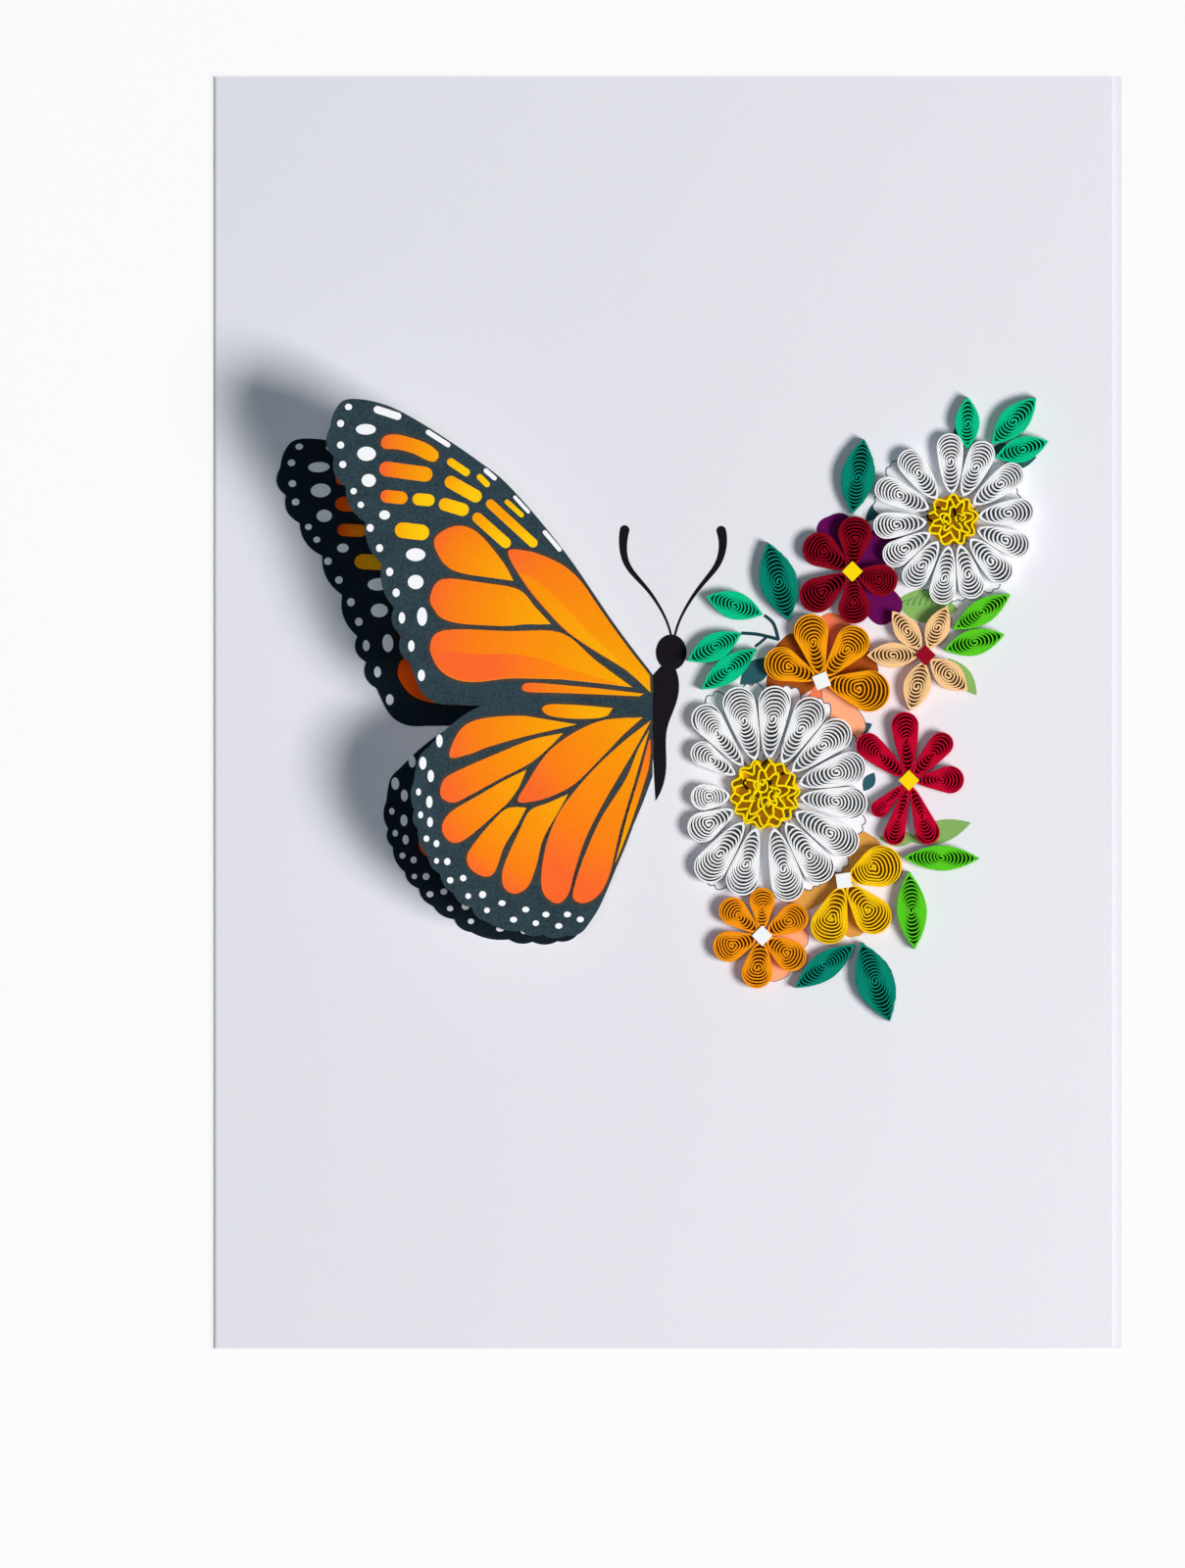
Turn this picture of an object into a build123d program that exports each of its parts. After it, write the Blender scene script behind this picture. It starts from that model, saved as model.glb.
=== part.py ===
"""A quilled paper butterfly on the face of a folded greeting card.

The card lies on its back with its fold to the left. The butterfly's left wing is a
printed die-cut sheet that curves up from the card over a second wing glued flat under
it. Its right wing is built of quilled paper: coils of standing strip, pinched into
petals and leaves. The body and the feelers are printed on the card between them.

Millimetres. The origin is the middle of the card's back, +Z comes out of its face and
+Y is up the card.
"""
import os
from math import asin, atan2, cos, degrees, hypot, pi, radians, sin, sqrt

from build123d import *

# Card
CARD_WIDTH = 127.0
CARD_HEIGHT = 177.8
CARD_STOCK = 0.4
FOLD_GAP = 0.3
FRONT_PANEL_SHORT = 1.4
CARD_FACE = 2 * CARD_STOCK + FOLD_GAP

# Print, as a film of ink
INK_FILM = 0.05
COIL_SEAT = CARD_FACE + INK_FILM

# Quilled strip
STRIP_HEIGHT = 2.5
STRIP_THICKNESS = 0.15
COIL_TURNS = 4
COIL_EYE = 0.36
PETAL_CLEARANCE = 0.16

# Cut wings: one outline serves both, measured from the middle of the hinge line
HINGE_X = -2.1
HINGE_Y = -1.8
HINGE_LENGTH = 14.2
WING_SHEET = 0.25
WING_SEAT = CARD_FACE + WING_SHEET + INK_FILM
WING_REACH = 45.2
WING_RISE = 24.0
WING_BOW = 1.8
WING_TAB = 4.0
FOREWING_SCALLOP = 0.8
HINDWING_SCALLOP = 0.45
LOWER_WING_STRETCH_X = 1.086
LOWER_WING_STRETCH_Y = 0.963
LOWER_WING_TURN = 2.7
LOWER_WING_SHIFT = (-1.5, -1.4)

# Flower centres
SQUARE_SIDE = 2.05
SQUARE_THICKNESS = 0.3
PETAL_START = 0.8
LARGE_DAISY_EYE = 4.3
SMALL_DAISY_EYE = 3.2
EYE_CLEARANCE = 0.25
CRIMP_DEPTH = 0.75
CRIMP_PITCH = 1.15

# Petals: angle from +X in degrees, then the reach from the flower's centre and the width
LARGE_DAISY_AT = (13.6, -11.4)
LARGE_DAISY_PETAL_WIDTH = 4.1
LARGE_DAISY_PETALS = (
    (128, 15.4), (106, 15.5), (84, 15.2), (61, 15.2), (40, 15.2), (17, 14.7), (-6, 14.4), (-31, 15.0),
    (-54, 15.0), (-76, 15.4), (-105, 14.6), (-127, 15.0), (-152, 12.0), (-177, 10.4), (147, 12.1),
)
SMALL_DAISY_AT = (39.8, 26.9)
SMALL_DAISY_PETAL_WIDTH = 3.6
SMALL_DAISY_PETALS = (
    (92, 12.1), (66, 11.9), (37, 12.1), (7, 11.5), (-21, 11.5), (-47, 11.6), (-74, 11.4), (-98, 11.9),
    (-124, 11.2), (-149, 11.1), (-175, 11.1), (155, 11.8), (126, 11.8),
)
CRIMSON_AT = (25.8, 19.7)
CRIMSON_PETALS = ((146, 7.9, 5.2), (86, 7.7, 5.0), (-17, 6.5, 4.5), (-87, 7.3, 5.0), (-146, 8.4, 4.9))
ORANGE_AT = (21.5, 4.4)
ORANGE_PETALS = ((157, 8.5, 5.2), (102, 9.5, 5.0), (51, 9.3, 5.0), (-12, 9.7, 5.8))
PEACH_AT = (36.0, 8.0)
PEACH_PETALS = ((180, 8.2, 3.7), (127, 7.7, 3.2), (66, 7.5, 3.1), (-40, 7.7, 3.5), (-105, 8.1, 3.6))
RED_AT = (33.7, -9.5)
RED_PETALS = (
    (94, 9.6, 3.8), (48, 8.5, 3.3), (1, 7.7, 3.9), (-70, 9.4, 3.4), (-105, 9.3, 3.4), (-136, 6.9, 3.2),
    (139, 9.2, 3.5),
)
YELLOW_AT = (24.6, -23.5)
YELLOW_PETALS = ((22, 8.3, 6.2), (-50, 9.0, 5.2), (-108, 9.2, 5.4))
SMALL_ORANGE_AT = (13.2, -31.2)
SMALL_ORANGE_PETALS = (
    (140, 7.3, 4.2), (90, 6.7, 3.6), (29, 7.1, 4.1), (-35, 7.1, 4.3), (-98, 7.4, 4.3), (-162, 7.1, 4.5),
)
SQUARE_TURNS = {"crimson": 45, "orange": 22, "peach": 45, "red": 45, "yellow": 8, "small_orange": 45}

# Leaves: base, tip and width
LEAVES = {
    "top_leaf_left": ((41.6, 39.4), (41.9, 44.1), 3.3),
    "top_leaf_middle": ((45.4, 37.8), (51.4, 44.0), 3.4),
    "top_leaf_right": ((46.4, 35.5), (53.2, 37.9), 3.1),
    "upper_teal_leaf": ((25.8, 27.8), (27.4, 38.2), 4.3),
    "middle_teal_leaf": ((17.0, 12.9), (14.0, 23.7), 4.8),
    "sprig_leaf_top": ((13.3, 13.7), (5.4, 16.2), 3.6),
    "sprig_leaf_middle": ((10.3, 11.1), (2.8, 7.2), 3.5),
    "sprig_leaf_bottom": ((12.4, 8.9), (4.7, 3.2), 3.3),
    "bright_leaf_top": ((39.9, 11.6), (47.9, 16.5), 3.2),
    "bright_leaf_bottom": ((38.6, 8.7), (47.1, 10.9), 3.4),
    "lime_leaf_right": ((32.9, -20.3), (43.6, -20.4), 3.3),
    "lime_leaf_down": ((33.7, -22.2), (34.5, -33.1), 3.9),
    "bottom_leaf_left": ((26.2, -32.4), (17.8, -38.5), 3.5),
    "bottom_leaf_right": ((27.1, -32.2), (31.0, -43.1), 4.8),
}

# Wing outline: the notches between the scallops, and the smooth edges between them
LEADING_EDGE = (
    (0.0, 7.1), (-5.3, 14.1), (-12.2, 24.1), (-19.6, 32.9), (-24.3, 36.8), (-32.0, 41.9), (-37.4, 44.6),
    (-42.3, 45.3), (-44.2, 43.7), (-44.9, 41.2),
)
FOREWING_NOTCHES = (
    (-44.9, 41.2), (-44.3, 37.2), (-42.7, 33.1), (-40.0, 28.2), (-37.7, 22.4), (-36.0, 16.3), (-35.0, 12.5),
    (-33.8, 8.6),
)
WAIST = ((-33.8, 8.6), (-32.3, 4.8), (-30.2, 3.1), (-27.0, 2.8), (-23.8, 2.7))
HINDWING_SHOULDER = ((-23.8, 2.7), (-26.0, 1.6), (-28.7, -0.5), (-31.1, -2.9), (-32.6, -4.6), (-33.3, -7.9))
HINDWING_NOTCHES = (
    (-33.3, -7.9), (-33.2, -11.8), (-32.7, -14.5), (-31.3, -18.2), (-29.6, -20.7), (-27.8, -23.4),
    (-25.2, -25.4), (-23.1, -27.4), (-18.3, -28.7), (-15.3, -29.2), (-12.1, -29.3), (-9.4, -28.4),
)
INNER_EDGE = ((-9.4, -28.4), (-7.6, -25.7), (-5.8, -21.7), (-3.5, -15.9), (-1.4, -10.9), (0.0, -7.1))

# Orange cells of the wing: each loop starts and ends at the cell's sharp corner
WING_CELLS = (
    ((-19.4, 20.1), (-21.0, 22.9), (-24.5, 26.9), (-27.6, 27.7), (-30.4, 25.9), (-29.6, 23.2), (-27.9, 21.6),
     (-25.4, 20.9)),
    ((-14.2, 14.1), (-16.4, 16.5), (-18.7, 18.9), (-23.5, 19.8), (-29.3, 20.3), (-31.0, 17.8), (-30.4, 16.0),
     (-29.2, 14.8), (-26.5, 14.1), (-21.0, 13.8)),
    ((-2.8, 5.3), (-8.0, 9.1), (-12.8, 12.9), (-20.0, 13.1), (-29.0, 13.2), (-31.0, 11.0), (-29.9, 8.0),
     (-27.6, 6.4), (-24.6, 6.0), (-19.9, 6.5), (-12.8, 6.4)),
    ((-0.3, 4.6), (-3.6, 7.6), (-7.8, 10.2), (-11.9, 13.0), (-15.0, 16.2), (-17.9, 19.8), (-20.2, 24.1),
     (-17.6, 24.3), (-14.7, 23.4), (-11.9, 21.9), (-9.7, 19.7), (-7.8, 16.9), (-4.0, 11.6), (-0.4, 7.0)),
    ((-10.6, 0.1), (-14.8, 0.8), (-18.3, 1.3), (-22.5, 1.1), (-25.4, 0.4), (-27.2, -1.2), (-28.3, -4.4),
     (-25.7, -4.1), (-22.8, -3.0), (-18.3, -1.7), (-14.5, -0.8)),
    ((-12.5, -1.1), (-16.8, -2.0), (-21.3, -3.8), (-26.6, -6.1), (-29.1, -7.6), (-29.5, -9.9), (-27.8, -10.8),
     (-25.7, -9.9), (-21.3, -7.5), (-17.1, -5.3), (-14.2, -2.9)),
    ((-17.6, -6.2), (-20.7, -7.7), (-24.3, -9.8), (-28.0, -12.0), (-29.3, -13.9), (-28.9, -15.6),
     (-27.5, -16.4), (-25.7, -15.6), (-22.5, -12.9), (-20.1, -10.7), (-18.6, -8.6)),
    ((-17.6, -11.5), (-20.3, -11.6), (-22.5, -13.6), (-24.9, -16.5), (-25.9, -18.4), (-25.3, -20.1),
     (-23.4, -21.1), (-22.0, -20.4), (-20.7, -16.9), (-18.9, -14.0)),
    ((-11.8, -9.6), (-14.5, -10.8), (-17.1, -11.9), (-18.6, -14.7), (-20.6, -19.2), (-21.0, -21.3),
     (-20.6, -22.8), (-19.2, -23.5), (-17.4, -22.5), (-16.2, -19.5), (-15.3, -15.9), (-13.3, -12.3)),
    ((-1.4, 1.1), (-6.4, 0.8), (-10.0, -0.5), (-13.3, -2.6), (-15.3, -4.6), (-17.6, -8.2), (-18.8, -10.6),
     (-16.5, -10.6), (-13.9, -9.8), (-10.9, -8.2), (-7.6, -5.0), (-4.1, -1.3)),
    ((-0.2, 0.7), (-3.5, -1.8), (-7.6, -5.5), (-10.9, -9.2), (-13.3, -12.6), (-14.8, -16.5), (-15.5, -20.4),
     (-15.4, -23.0), (-14.4, -24.4), (-13.0, -24.8), (-11.7, -23.4), (-10.9, -20.4), (-9.4, -15.9),
     (-6.9, -10.9), (-2.9, -4.1)),
    ((-0.45, -0.6), (-2.0, -3.3), (-3.8, -7.6), (-7.1, -12.8), (-9.2, -17.4), (-10.6, -21.3), (-11.1, -24.1),
     (-9.4, -24.8), (-7.3, -23.4), (-5.9, -20.4), (-4.5, -14.5), (-2.7, -8.5)),
    ((-5.3, -19.4), (-4.65, -17.0), (-3.4, -12.2), (-1.75, -6.8), (-0.4, -1.9), (-0.45, -5.4), (-1.6, -9.4),
     (-3.0, -13.6), (-4.2, -16.8)),
    ((-5.6, 2.4), (-10.3, 2.8), (-14.4, 2.9), (-15.4, 2.2), (-14.3, 1.3), (-11.0, 0.9), (-7.6, 1.0),
     (-6.2, 1.4)),
    ((-29.85, 37.95), (-31.2, 39.05), (-33.4, 39.9), (-35.6, 40.4), (-37.1, 40.25), (-37.8, 39.4),
     (-37.4, 38.45), (-35.6, 38.35), (-33.4, 37.8), (-31.65, 36.95), (-30.45, 36.65), (-29.8, 37.25)),
    ((-1.2, 4.4), (-7.7, 5.15), (-13.1, 5.65), (-17.2, 5.9), (-18.2, 5.35), (-17.5, 4.65), (-13.1, 4.5),
     (-7.7, 4.3), (-1.9, 4.05)),
)
# Rounded bars of print: both ends and the width
ORANGE_BARS = (((-37.0, 35.6), (-31.7, 34.9), 2.1), ((-37.0, 31.8), (-35.0, 31.6), 1.8))
YELLOW_BARS = (
    ((-32.6, 31.4), (-31.2, 31.3), 1.7), ((-28.9, 30.7), (-26.5, 30.0), 1.8),
    ((-34.8, 27.1), (-32.2, 26.8), 2.2), ((-28.1, 36.6), (-26.0, 35.2), 1.1),
    ((-24.1, 34.55), (-23.1, 33.55), 0.85), ((-28.1, 33.8), (-24.7, 31.9), 1.8),
    ((-24.4, 28.85), (-20.5, 25.4), 1.5), ((-22.6, 30.8), (-16.7, 25.4), 1.3),
    ((-20.3, 31.1), (-18.3, 29.3), 0.7),
)
WHITE_BARS = (
    ((-38.3, 43.85), (-35.5, 42.95), 1.05), ((-31.25, 40.75), (-28.5, 39.0), 0.7),
    ((-23.25, 35.45), (-22.05, 34.4), 0.65), ((-19.2, 31.75), (-17.35, 29.75), 0.5),
    ((-15.05, 26.9), (-13.0, 24.5), 0.6),
)
# Oval spots of print: centre, half width and half height
FOREWING_SPOTS = (
    (-42.3, 44.2, 0.5, 0.45), (-43.4, 41.9, 0.5, 0.5), (-43.4, 38.9, 0.5, 0.5), (-43.1, 36.2, 0.5, 0.5),
    (-41.6, 32.5, 0.45, 0.45), (-40.6, 30.6, 0.45, 0.45), (-39.3, 27.4, 0.5, 0.55), (-38.0, 24.6, 0.5, 0.55),
    (-36.6, 21.3, 0.5, 0.6), (-35.7, 18.4, 0.5, 0.6), (-34.9, 14.9, 0.45, 0.8), (-33.6, 11.0, 0.45, 0.8),
    (-32.2, 6.9, 0.5, 0.8), (-39.9, 41.1, 1.4, 0.75), (-39.8, 37.7, 1.3, 1.0), (-39.5, 34.0, 1.0, 0.9),
    (-37.3, 29.2, 0.75, 0.65), (-33.0, 23.7, 1.35, 0.9), (-33.0, 19.9, 1.1, 1.0), (-32.1, 15.1, 0.7, 1.3),
)
HINDWING_SPOTS = (
    (-29.7, -2.2, 0.45, 0.9), (-32.0, -5.3, 0.5, 0.9), (-30.9, -7.1, 0.45, 0.85), (-32.6, -9.3, 0.35, 0.5),
    (-31.1, -10.7, 0.45, 0.85), (-32.3, -12.5, 0.35, 0.5), (-31.0, -13.5, 0.4, 0.7), (-31.5, -15.8, 0.4, 0.45),
    (-30.1, -16.5, 0.4, 0.5), (-30.1, -18.9, 0.35, 0.4), (-28.6, -19.0, 0.45, 0.5), (-28.2, -21.6, 0.45, 0.45),
    (-26.4, -21.3, 0.45, 0.45), (-25.7, -23.8, 0.4, 0.4), (-23.7, -23.6, 0.5, 0.5), (-23.1, -25.8, 0.4, 0.4),
    (-21.0, -24.8, 0.5, 0.4), (-19.4, -27.1, 0.5, 0.4), (-17.7, -25.7, 0.5, 0.4), (-16.3, -27.6, 0.45, 0.4),
    (-14.9, -26.4, 0.5, 0.4), (-13.1, -28.0, 0.5, 0.4), (-11.9, -26.4, 0.5, 0.4), (-10.1, -27.1, 0.5, 0.4),
)

# Body print: head, body outline and feelers, and the stems and painted leaves and petals
HEAD_AT = (0.5, 8.4)
HEAD_HALF = (2.15, 2.5)
BODY_LEFT = ((-1.1, 6.3), (-2.1, 5.2), (-2.1, -5.0), (-1.7, -12.4))
BODY_RIGHT = ((-1.7, -12.4), (-0.6, -10.1), (-0.2, -7.9), (0.0, -2.0), (0.6, -0.3), (1.4, 2.0), (1.6, 3.7),
              (1.2, 5.9))
BODY_NECK = ((1.2, 5.9), (0.1, 6.9), (-1.1, 6.3))
LEFT_FEELER = ((0.5, 10.7), (-1.1, 14.7), (-3.5, 18.0), (-5.6, 20.6), (-6.2, 23.0), (-6.0, 25.5))
RIGHT_FEELER = ((1.0, 10.7), (2.6, 14.7), (5.3, 18.5), (6.8, 20.4), (7.6, 22.5), (7.5, 25.4))
FEELER_BASE_WIDTH = 0.32
FEELER_CLUB_WIDTH = 1.35
STEMS = (((13.5, 13.6), (14.6, 12.3), (15.1, 10.3)), ((10.3, 11.1), (12.7, 10.8), (15.1, 10.4)),
         ((12.2, 9.2), (13.1, 9.9), (13.9, 10.6)))
STEM_WIDTH = 0.36
PAINTED_LEAVES = (
    ((10.1, 3.9), (14.2, 7.3), 2.6), ((36.5, 13.2), (31.9, 16.6), 2.6), ((41.0, 7.0), (43.2, 2.4), 2.2),
    ((36.0, -17.6), (42.0, -15.4), 2.4),
)
PAINTED_PETALS = (
    ((22.2, 1.8), (20.3, -1.6), 3.0), ((24.1, 1.6), (25.6, -1.8), 3.2), ((19.3, -33.6), (21.3, -35.6), 2.6),
)


def at_hinge(point):
    return (HINGE_X + point[0], HINGE_Y + point[1])


def under_the_upper(point):
    """Where a point of the raised wing lies on the lower one, which is turned, shifted and flat."""
    x = point[0] * LOWER_WING_STRETCH_X
    y = point[1] * LOWER_WING_STRETCH_Y
    turn = radians(LOWER_WING_TURN)
    across = x * cos(turn) - y * sin(turn) + LOWER_WING_SHIFT[0]
    up = x * sin(turn) + y * cos(turn) + LOWER_WING_SHIFT[1]
    return at_hinge((across, up))


def scallops(notches, depth):
    """Arcs that bulge to the left of the way from notch to notch."""
    arcs = []
    for (x0, y0), (x1, y1) in zip(notches, notches[1:]):
        length = hypot(x1 - x0, y1 - y0)
        bulge = min(depth, length / 4)
        middle = ((x0 + x1) / 2 + bulge * (y1 - y0) / length, (y0 + y1) / 2 - bulge * (x1 - x0) / length)
        arcs.append(ThreePointArc((x0, y0), middle, (x1, y1)))
    return arcs


def wing_face(place):
    """The wing's outline, with every point brought to its place by the given function."""
    def put(points):
        return [place(point) for point in points]

    edges = [Spline(*put(LEADING_EDGE))]
    edges += scallops(put(FOREWING_NOTCHES), FOREWING_SCALLOP)
    edges += [Spline(*put(WAIST)), Spline(*put(HINDWING_SHOULDER))]
    edges += scallops(put(HINDWING_NOTCHES), HINDWING_SCALLOP)
    edges += [Spline(*put(INNER_EDGE)), Line(place(INNER_EDGE[-1]), place(LEADING_EDGE[0]))]
    return Face(Wire(edges))


def cell_face(points, place):
    loop = [place(point) for point in points]
    return Face(Wire([Spline(*loop), Line(loop[-1], loop[0])]))


def bar_face(start, end, width, place):
    """A bar with round ends about its two end points."""
    (x0, y0), (x1, y1) = place(start), place(end)
    length = hypot(x1 - x0, y1 - y0)
    along = ((x1 - x0) / length, (y1 - y0) / length)
    left = (-along[1] * width / 2, along[0] * width / 2)
    ahead = (along[0] * width / 2, along[1] * width / 2)
    a, b = (x0 + left[0], y0 + left[1]), (x1 + left[0], y1 + left[1])
    c, d = (x1 - left[0], y1 - left[1]), (x0 - left[0], y0 - left[1])
    return Face(Wire([
        Line(a, b),
        ThreePointArc(b, (x1 + ahead[0], y1 + ahead[1]), c),
        Line(c, d),
        ThreePointArc(d, (x0 - ahead[0], y0 - ahead[1]), a),
    ]))


def spot_face(x, y, half_width, half_height, place):
    """An oval spot. One as wide as it is high is a circle."""
    spot = Ellipse(half_width, half_height) if half_width != half_height else Circle(half_width)
    return (Pos(*place((x, y)), 0) * spot).face()


def orange_faces(place):
    faces = [cell_face(cell, place) for cell in WING_CELLS]
    return faces + [bar_face(*bar, place) for bar in ORANGE_BARS]


def white_faces(place):
    faces = [bar_face(*bar, place) for bar in WHITE_BARS]
    return faces + [spot_face(*spot, place) for spot in FOREWING_SPOTS + HINDWING_SPOTS]


def plate(face, bottom, thickness):
    return extrude(Pos(0, 0, bottom) * face, amount=thickness, dir=(0, 0, 1))


def group(solids):
    """Separate solids in one sub-part."""
    return Compound(children=[solid for shape in solids for solid in shape.solids()])


def raised_slab(above, thickness):
    """A layer of the raised wing's curve, this far above the sheet's underside at the hinge."""
    chord = hypot(WING_REACH, WING_RISE)
    radius = (chord * chord / 4 + WING_BOW * WING_BOW) / (2 * WING_BOW)
    slope = atan2(WING_RISE, WING_REACH)
    centre_out = WING_REACH / 2 + (radius - WING_BOW) * sin(slope)
    centre_up = WING_RISE / 2 - (radius - WING_BOW) * cos(slope)
    half_sweep = asin(chord / 2 / radius)

    def on_curve(offset, sweep):
        angle = slope + pi / 2 - sweep
        out = centre_out + (radius + offset) * cos(angle)
        up = centre_up + (radius + offset) * sin(angle)
        return (HINGE_X - out, 0, WING_SEAT + up)

    start, end = -half_sweep, half_sweep
    low, high = above, above + thickness
    section = Face(Wire([
        ThreePointArc(on_curve(low, start), on_curve(low, 0), on_curve(low, end)),
        Line(on_curve(low, end), on_curve(high, end)),
        ThreePointArc(on_curve(high, end), on_curve(high, 0), on_curve(high, start)),
        Line(on_curve(high, start), on_curve(low, start)),
    ]))
    return extrude(section, amount=CARD_HEIGHT / 2, dir=(0, 1, 0), both=True)


def on_raised_wing(faces, slab):
    """The pieces of a raised layer inside the given outlines."""
    return group([slab & plate(face, CARD_FACE, 2 * WING_RISE) for face in faces])


def card():
    """One sheet folded at the left, with the back panel a little wider than the front."""
    left, right = -CARD_WIDTH / 2, CARD_WIDTH / 2
    front_right = right - FRONT_PANEL_SHORT
    outer = CARD_FACE / 2
    inner = FOLD_GAP / 2
    fold_x = left + outer
    front_inside = CARD_FACE - CARD_STOCK
    section = Face(Wire([
        Line((right, 0, 0), (fold_x, 0, 0)),
        ThreePointArc((fold_x, 0, 0), (left, 0, outer), (fold_x, 0, CARD_FACE)),
        Line((fold_x, 0, CARD_FACE), (front_right, 0, CARD_FACE)),
        Line((front_right, 0, CARD_FACE), (front_right, 0, front_inside)),
        Line((front_right, 0, front_inside), (fold_x, 0, front_inside)),
        ThreePointArc((fold_x, 0, front_inside), (fold_x - inner, 0, outer), (fold_x, 0, CARD_STOCK)),
        Line((fold_x, 0, CARD_STOCK), (right, 0, CARD_STOCK)),
        Line((right, 0, CARD_STOCK), (right, 0, 0)),
    ]))
    return extrude(section, amount=CARD_HEIGHT / 2, dir=(0, 1, 0), both=True)


def lower_wing():
    return plate(wing_face(under_the_upper), CARD_FACE, WING_SHEET)


def upper_wing():
    """The raised sheet, with a tab at its root folded back and glued down under it."""
    sheet = raised_slab(0, WING_SHEET) & plate(wing_face(at_hinge), CARD_FACE, 2 * WING_RISE)
    tab = Pos(HINGE_X - WING_TAB / 2, HINGE_Y, WING_SEAT + WING_SHEET / 2) * Box(
        WING_TAB, HINGE_LENGTH - WING_TAB / 2, WING_SHEET)
    return sheet + tab


class Teardrop:
    """A petal's outline: a point at the origin, arched flanks and a round end along +X.

    Ease flattens the flanks: 1 is the fullest arch, and a large value is nearly straight."""
    KEYS = 3
    GAP_KEYS = 2

    def __init__(self, length, width, ease):
        self.half = width / 2
        self.length = length
        self.eye = length - self.half
        self.radius = ease * (self.eye ** 2 + self.half ** 2) / (2 * self.half)
        self.arch_x = (self.eye ** 2 + 2 * self.radius * self.half - self.half ** 2) / (2 * self.eye)
        self.arch_y = -sqrt(self.radius ** 2 - self.arch_x ** 2)
        self.tip_angle = atan2(-self.arch_y, -self.arch_x)
        self.shoulder_angle = atan2(-self.arch_y, self.eye - self.arch_x)

    @classmethod
    def choices(cls, length, width):
        return [cls(length, width, ease) for ease in (1, 1.15, 1.3, 1.6, 2.2, 4)]

    def flank(self, x):
        """Half the width at this distance from the point."""
        if x < self.arch_x + self.radius * cos(self.shoulder_angle):
            return self.arch_y + sqrt(self.radius ** 2 - (x - self.arch_x) ** 2)
        return sqrt(self.half ** 2 - (x - self.eye) ** 2)

    def on_flank(self, angle, side):
        x = self.arch_x + self.radius * cos(angle)
        y = self.arch_y + self.radius * sin(angle)
        return (x, side * y), (cos(angle), side * sin(angle)), 1

    def at(self, step):
        """Point, outward normal and mitre at a sixth of the way round for each step."""
        side = 1 if step % 6 < 3 else -1
        place = min(step % 6, 6 - step % 6)
        if place == 0:
            return (0, 0), (-1, 0), self.radius / self.arch_x
        if place == 1:
            return self.on_flank((self.tip_angle + self.shoulder_angle) / 2, side)
        if place == 2:
            return self.on_flank(self.shoulder_angle, side)
        return (self.length, 0), (1, 0), 1


class Marquise:
    """A leaf's outline: two arcs that meet in a point at each end, along +X from the origin."""
    KEYS = 2
    GAP_KEYS = 1

    def __init__(self, length, width):
        self.half = width / 2
        self.length = length
        self.eye = length / 2
        self.radius = (self.eye ** 2 + self.half ** 2) / (2 * self.half)

    @classmethod
    def choices(cls, length, width):
        return [cls(length, width)]

    def flank(self, x):
        """Half the width at this distance from the point."""
        return sqrt(self.radius ** 2 - (x - self.eye) ** 2) - self.radius + self.half

    def at(self, step):
        """Point, outward normal and mitre at a quarter of the way round for each step."""
        place = step % 4
        if place in (1, 3):
            side = 2 - place
            return (self.eye, side * self.half), (0, side), 1
        if place == 0:
            return (0, 0), (-1, 0), self.radius / self.eye
        return (self.length, 0), (1, 0), self.radius / self.eye


def fits(outline, start, half_gap):
    """Whether an outline keeps clear of the line halfway to the next petal."""
    return all(
        outline.flank(x) * cos(half_gap) <= (start + x) * sin(half_gap) - PETAL_CLEARANCE / 2
        for x in (outline.length * i / 16 for i in range(1, 16))
    )


def roomiest(shape, start, reach, width, half_gap):
    """The fullest outline that fits, no wider than given."""
    while True:
        for outline in shape.choices(reach - start, width):
            if fits(outline, start, half_gap):
                return outline
        width *= 0.99


def rim_wire(outline):
    """The closed outline, as arcs through its keys."""
    points = [outline.at(step)[0] for step in range(2 * outline.KEYS)]
    points.append(points[0])
    return Wire([ThreePointArc(*points[i:i + 3]) for i in range(0, len(points) - 1, 2)])


def coil_face(outline):
    """The turns of one pinched coil: its outline less the one winding gap between the turns."""
    keys = outline.KEYS
    steps = 2 * keys

    def scale(step):
        inward = max(0, step - steps) / (steps * COIL_TURNS - steps)
        return 1 - (1 - COIL_EYE / outline.half) * inward

    def wall(step, inset):
        (x, y), (nx, ny), mitre = outline.at(step)
        size = scale(step)
        x = outline.eye + size * (x - outline.eye)
        return (x - inset * mitre * nx, size * y - inset * mitre * ny)

    def arc(step, inset):
        return ThreePointArc(wall(step, inset), wall(step + 1, inset), wall(step + 2, inset))

    rim = rim_wire(outline)
    first = 2 * outline.GAP_KEYS
    last = steps * COIL_TURNS - 2
    gap = [arc(step, STRIP_THICKNESS) for step in range(first, last, 2)]
    gap.append(Line(wall(last, STRIP_THICKNESS), wall(last, 0)))
    gap += [arc(step, 0) for step in range(first + steps, last, 2)]
    gap.append(Line(wall(first + steps, 0), wall(first, STRIP_THICKNESS)))
    return Face(rim, [Wire(gap)])


def standing(face, x, y, angle):
    return plate(Pos(x, y, 0) * Rot(0, 0, angle) * face, COIL_SEAT, STRIP_HEIGHT)


def petals(centre, start, specs, shape=Teardrop):
    """The coils of one flower, each narrowed where its neighbours crowd it."""
    coils = []
    for angle, reach, width in specs:
        gaps = [abs((angle - other + 180) % 360 - 180) for other, _, _ in specs if other != angle]
        half_gap = radians(min(min(gaps) / 2, 60))
        outline = roomiest(shape, start, reach, width, half_gap)
        x = centre[0] + start * cos(radians(angle))
        y = centre[1] + start * sin(radians(angle))
        coils.append(standing(coil_face(outline), x, y, angle))
    return coils


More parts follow.
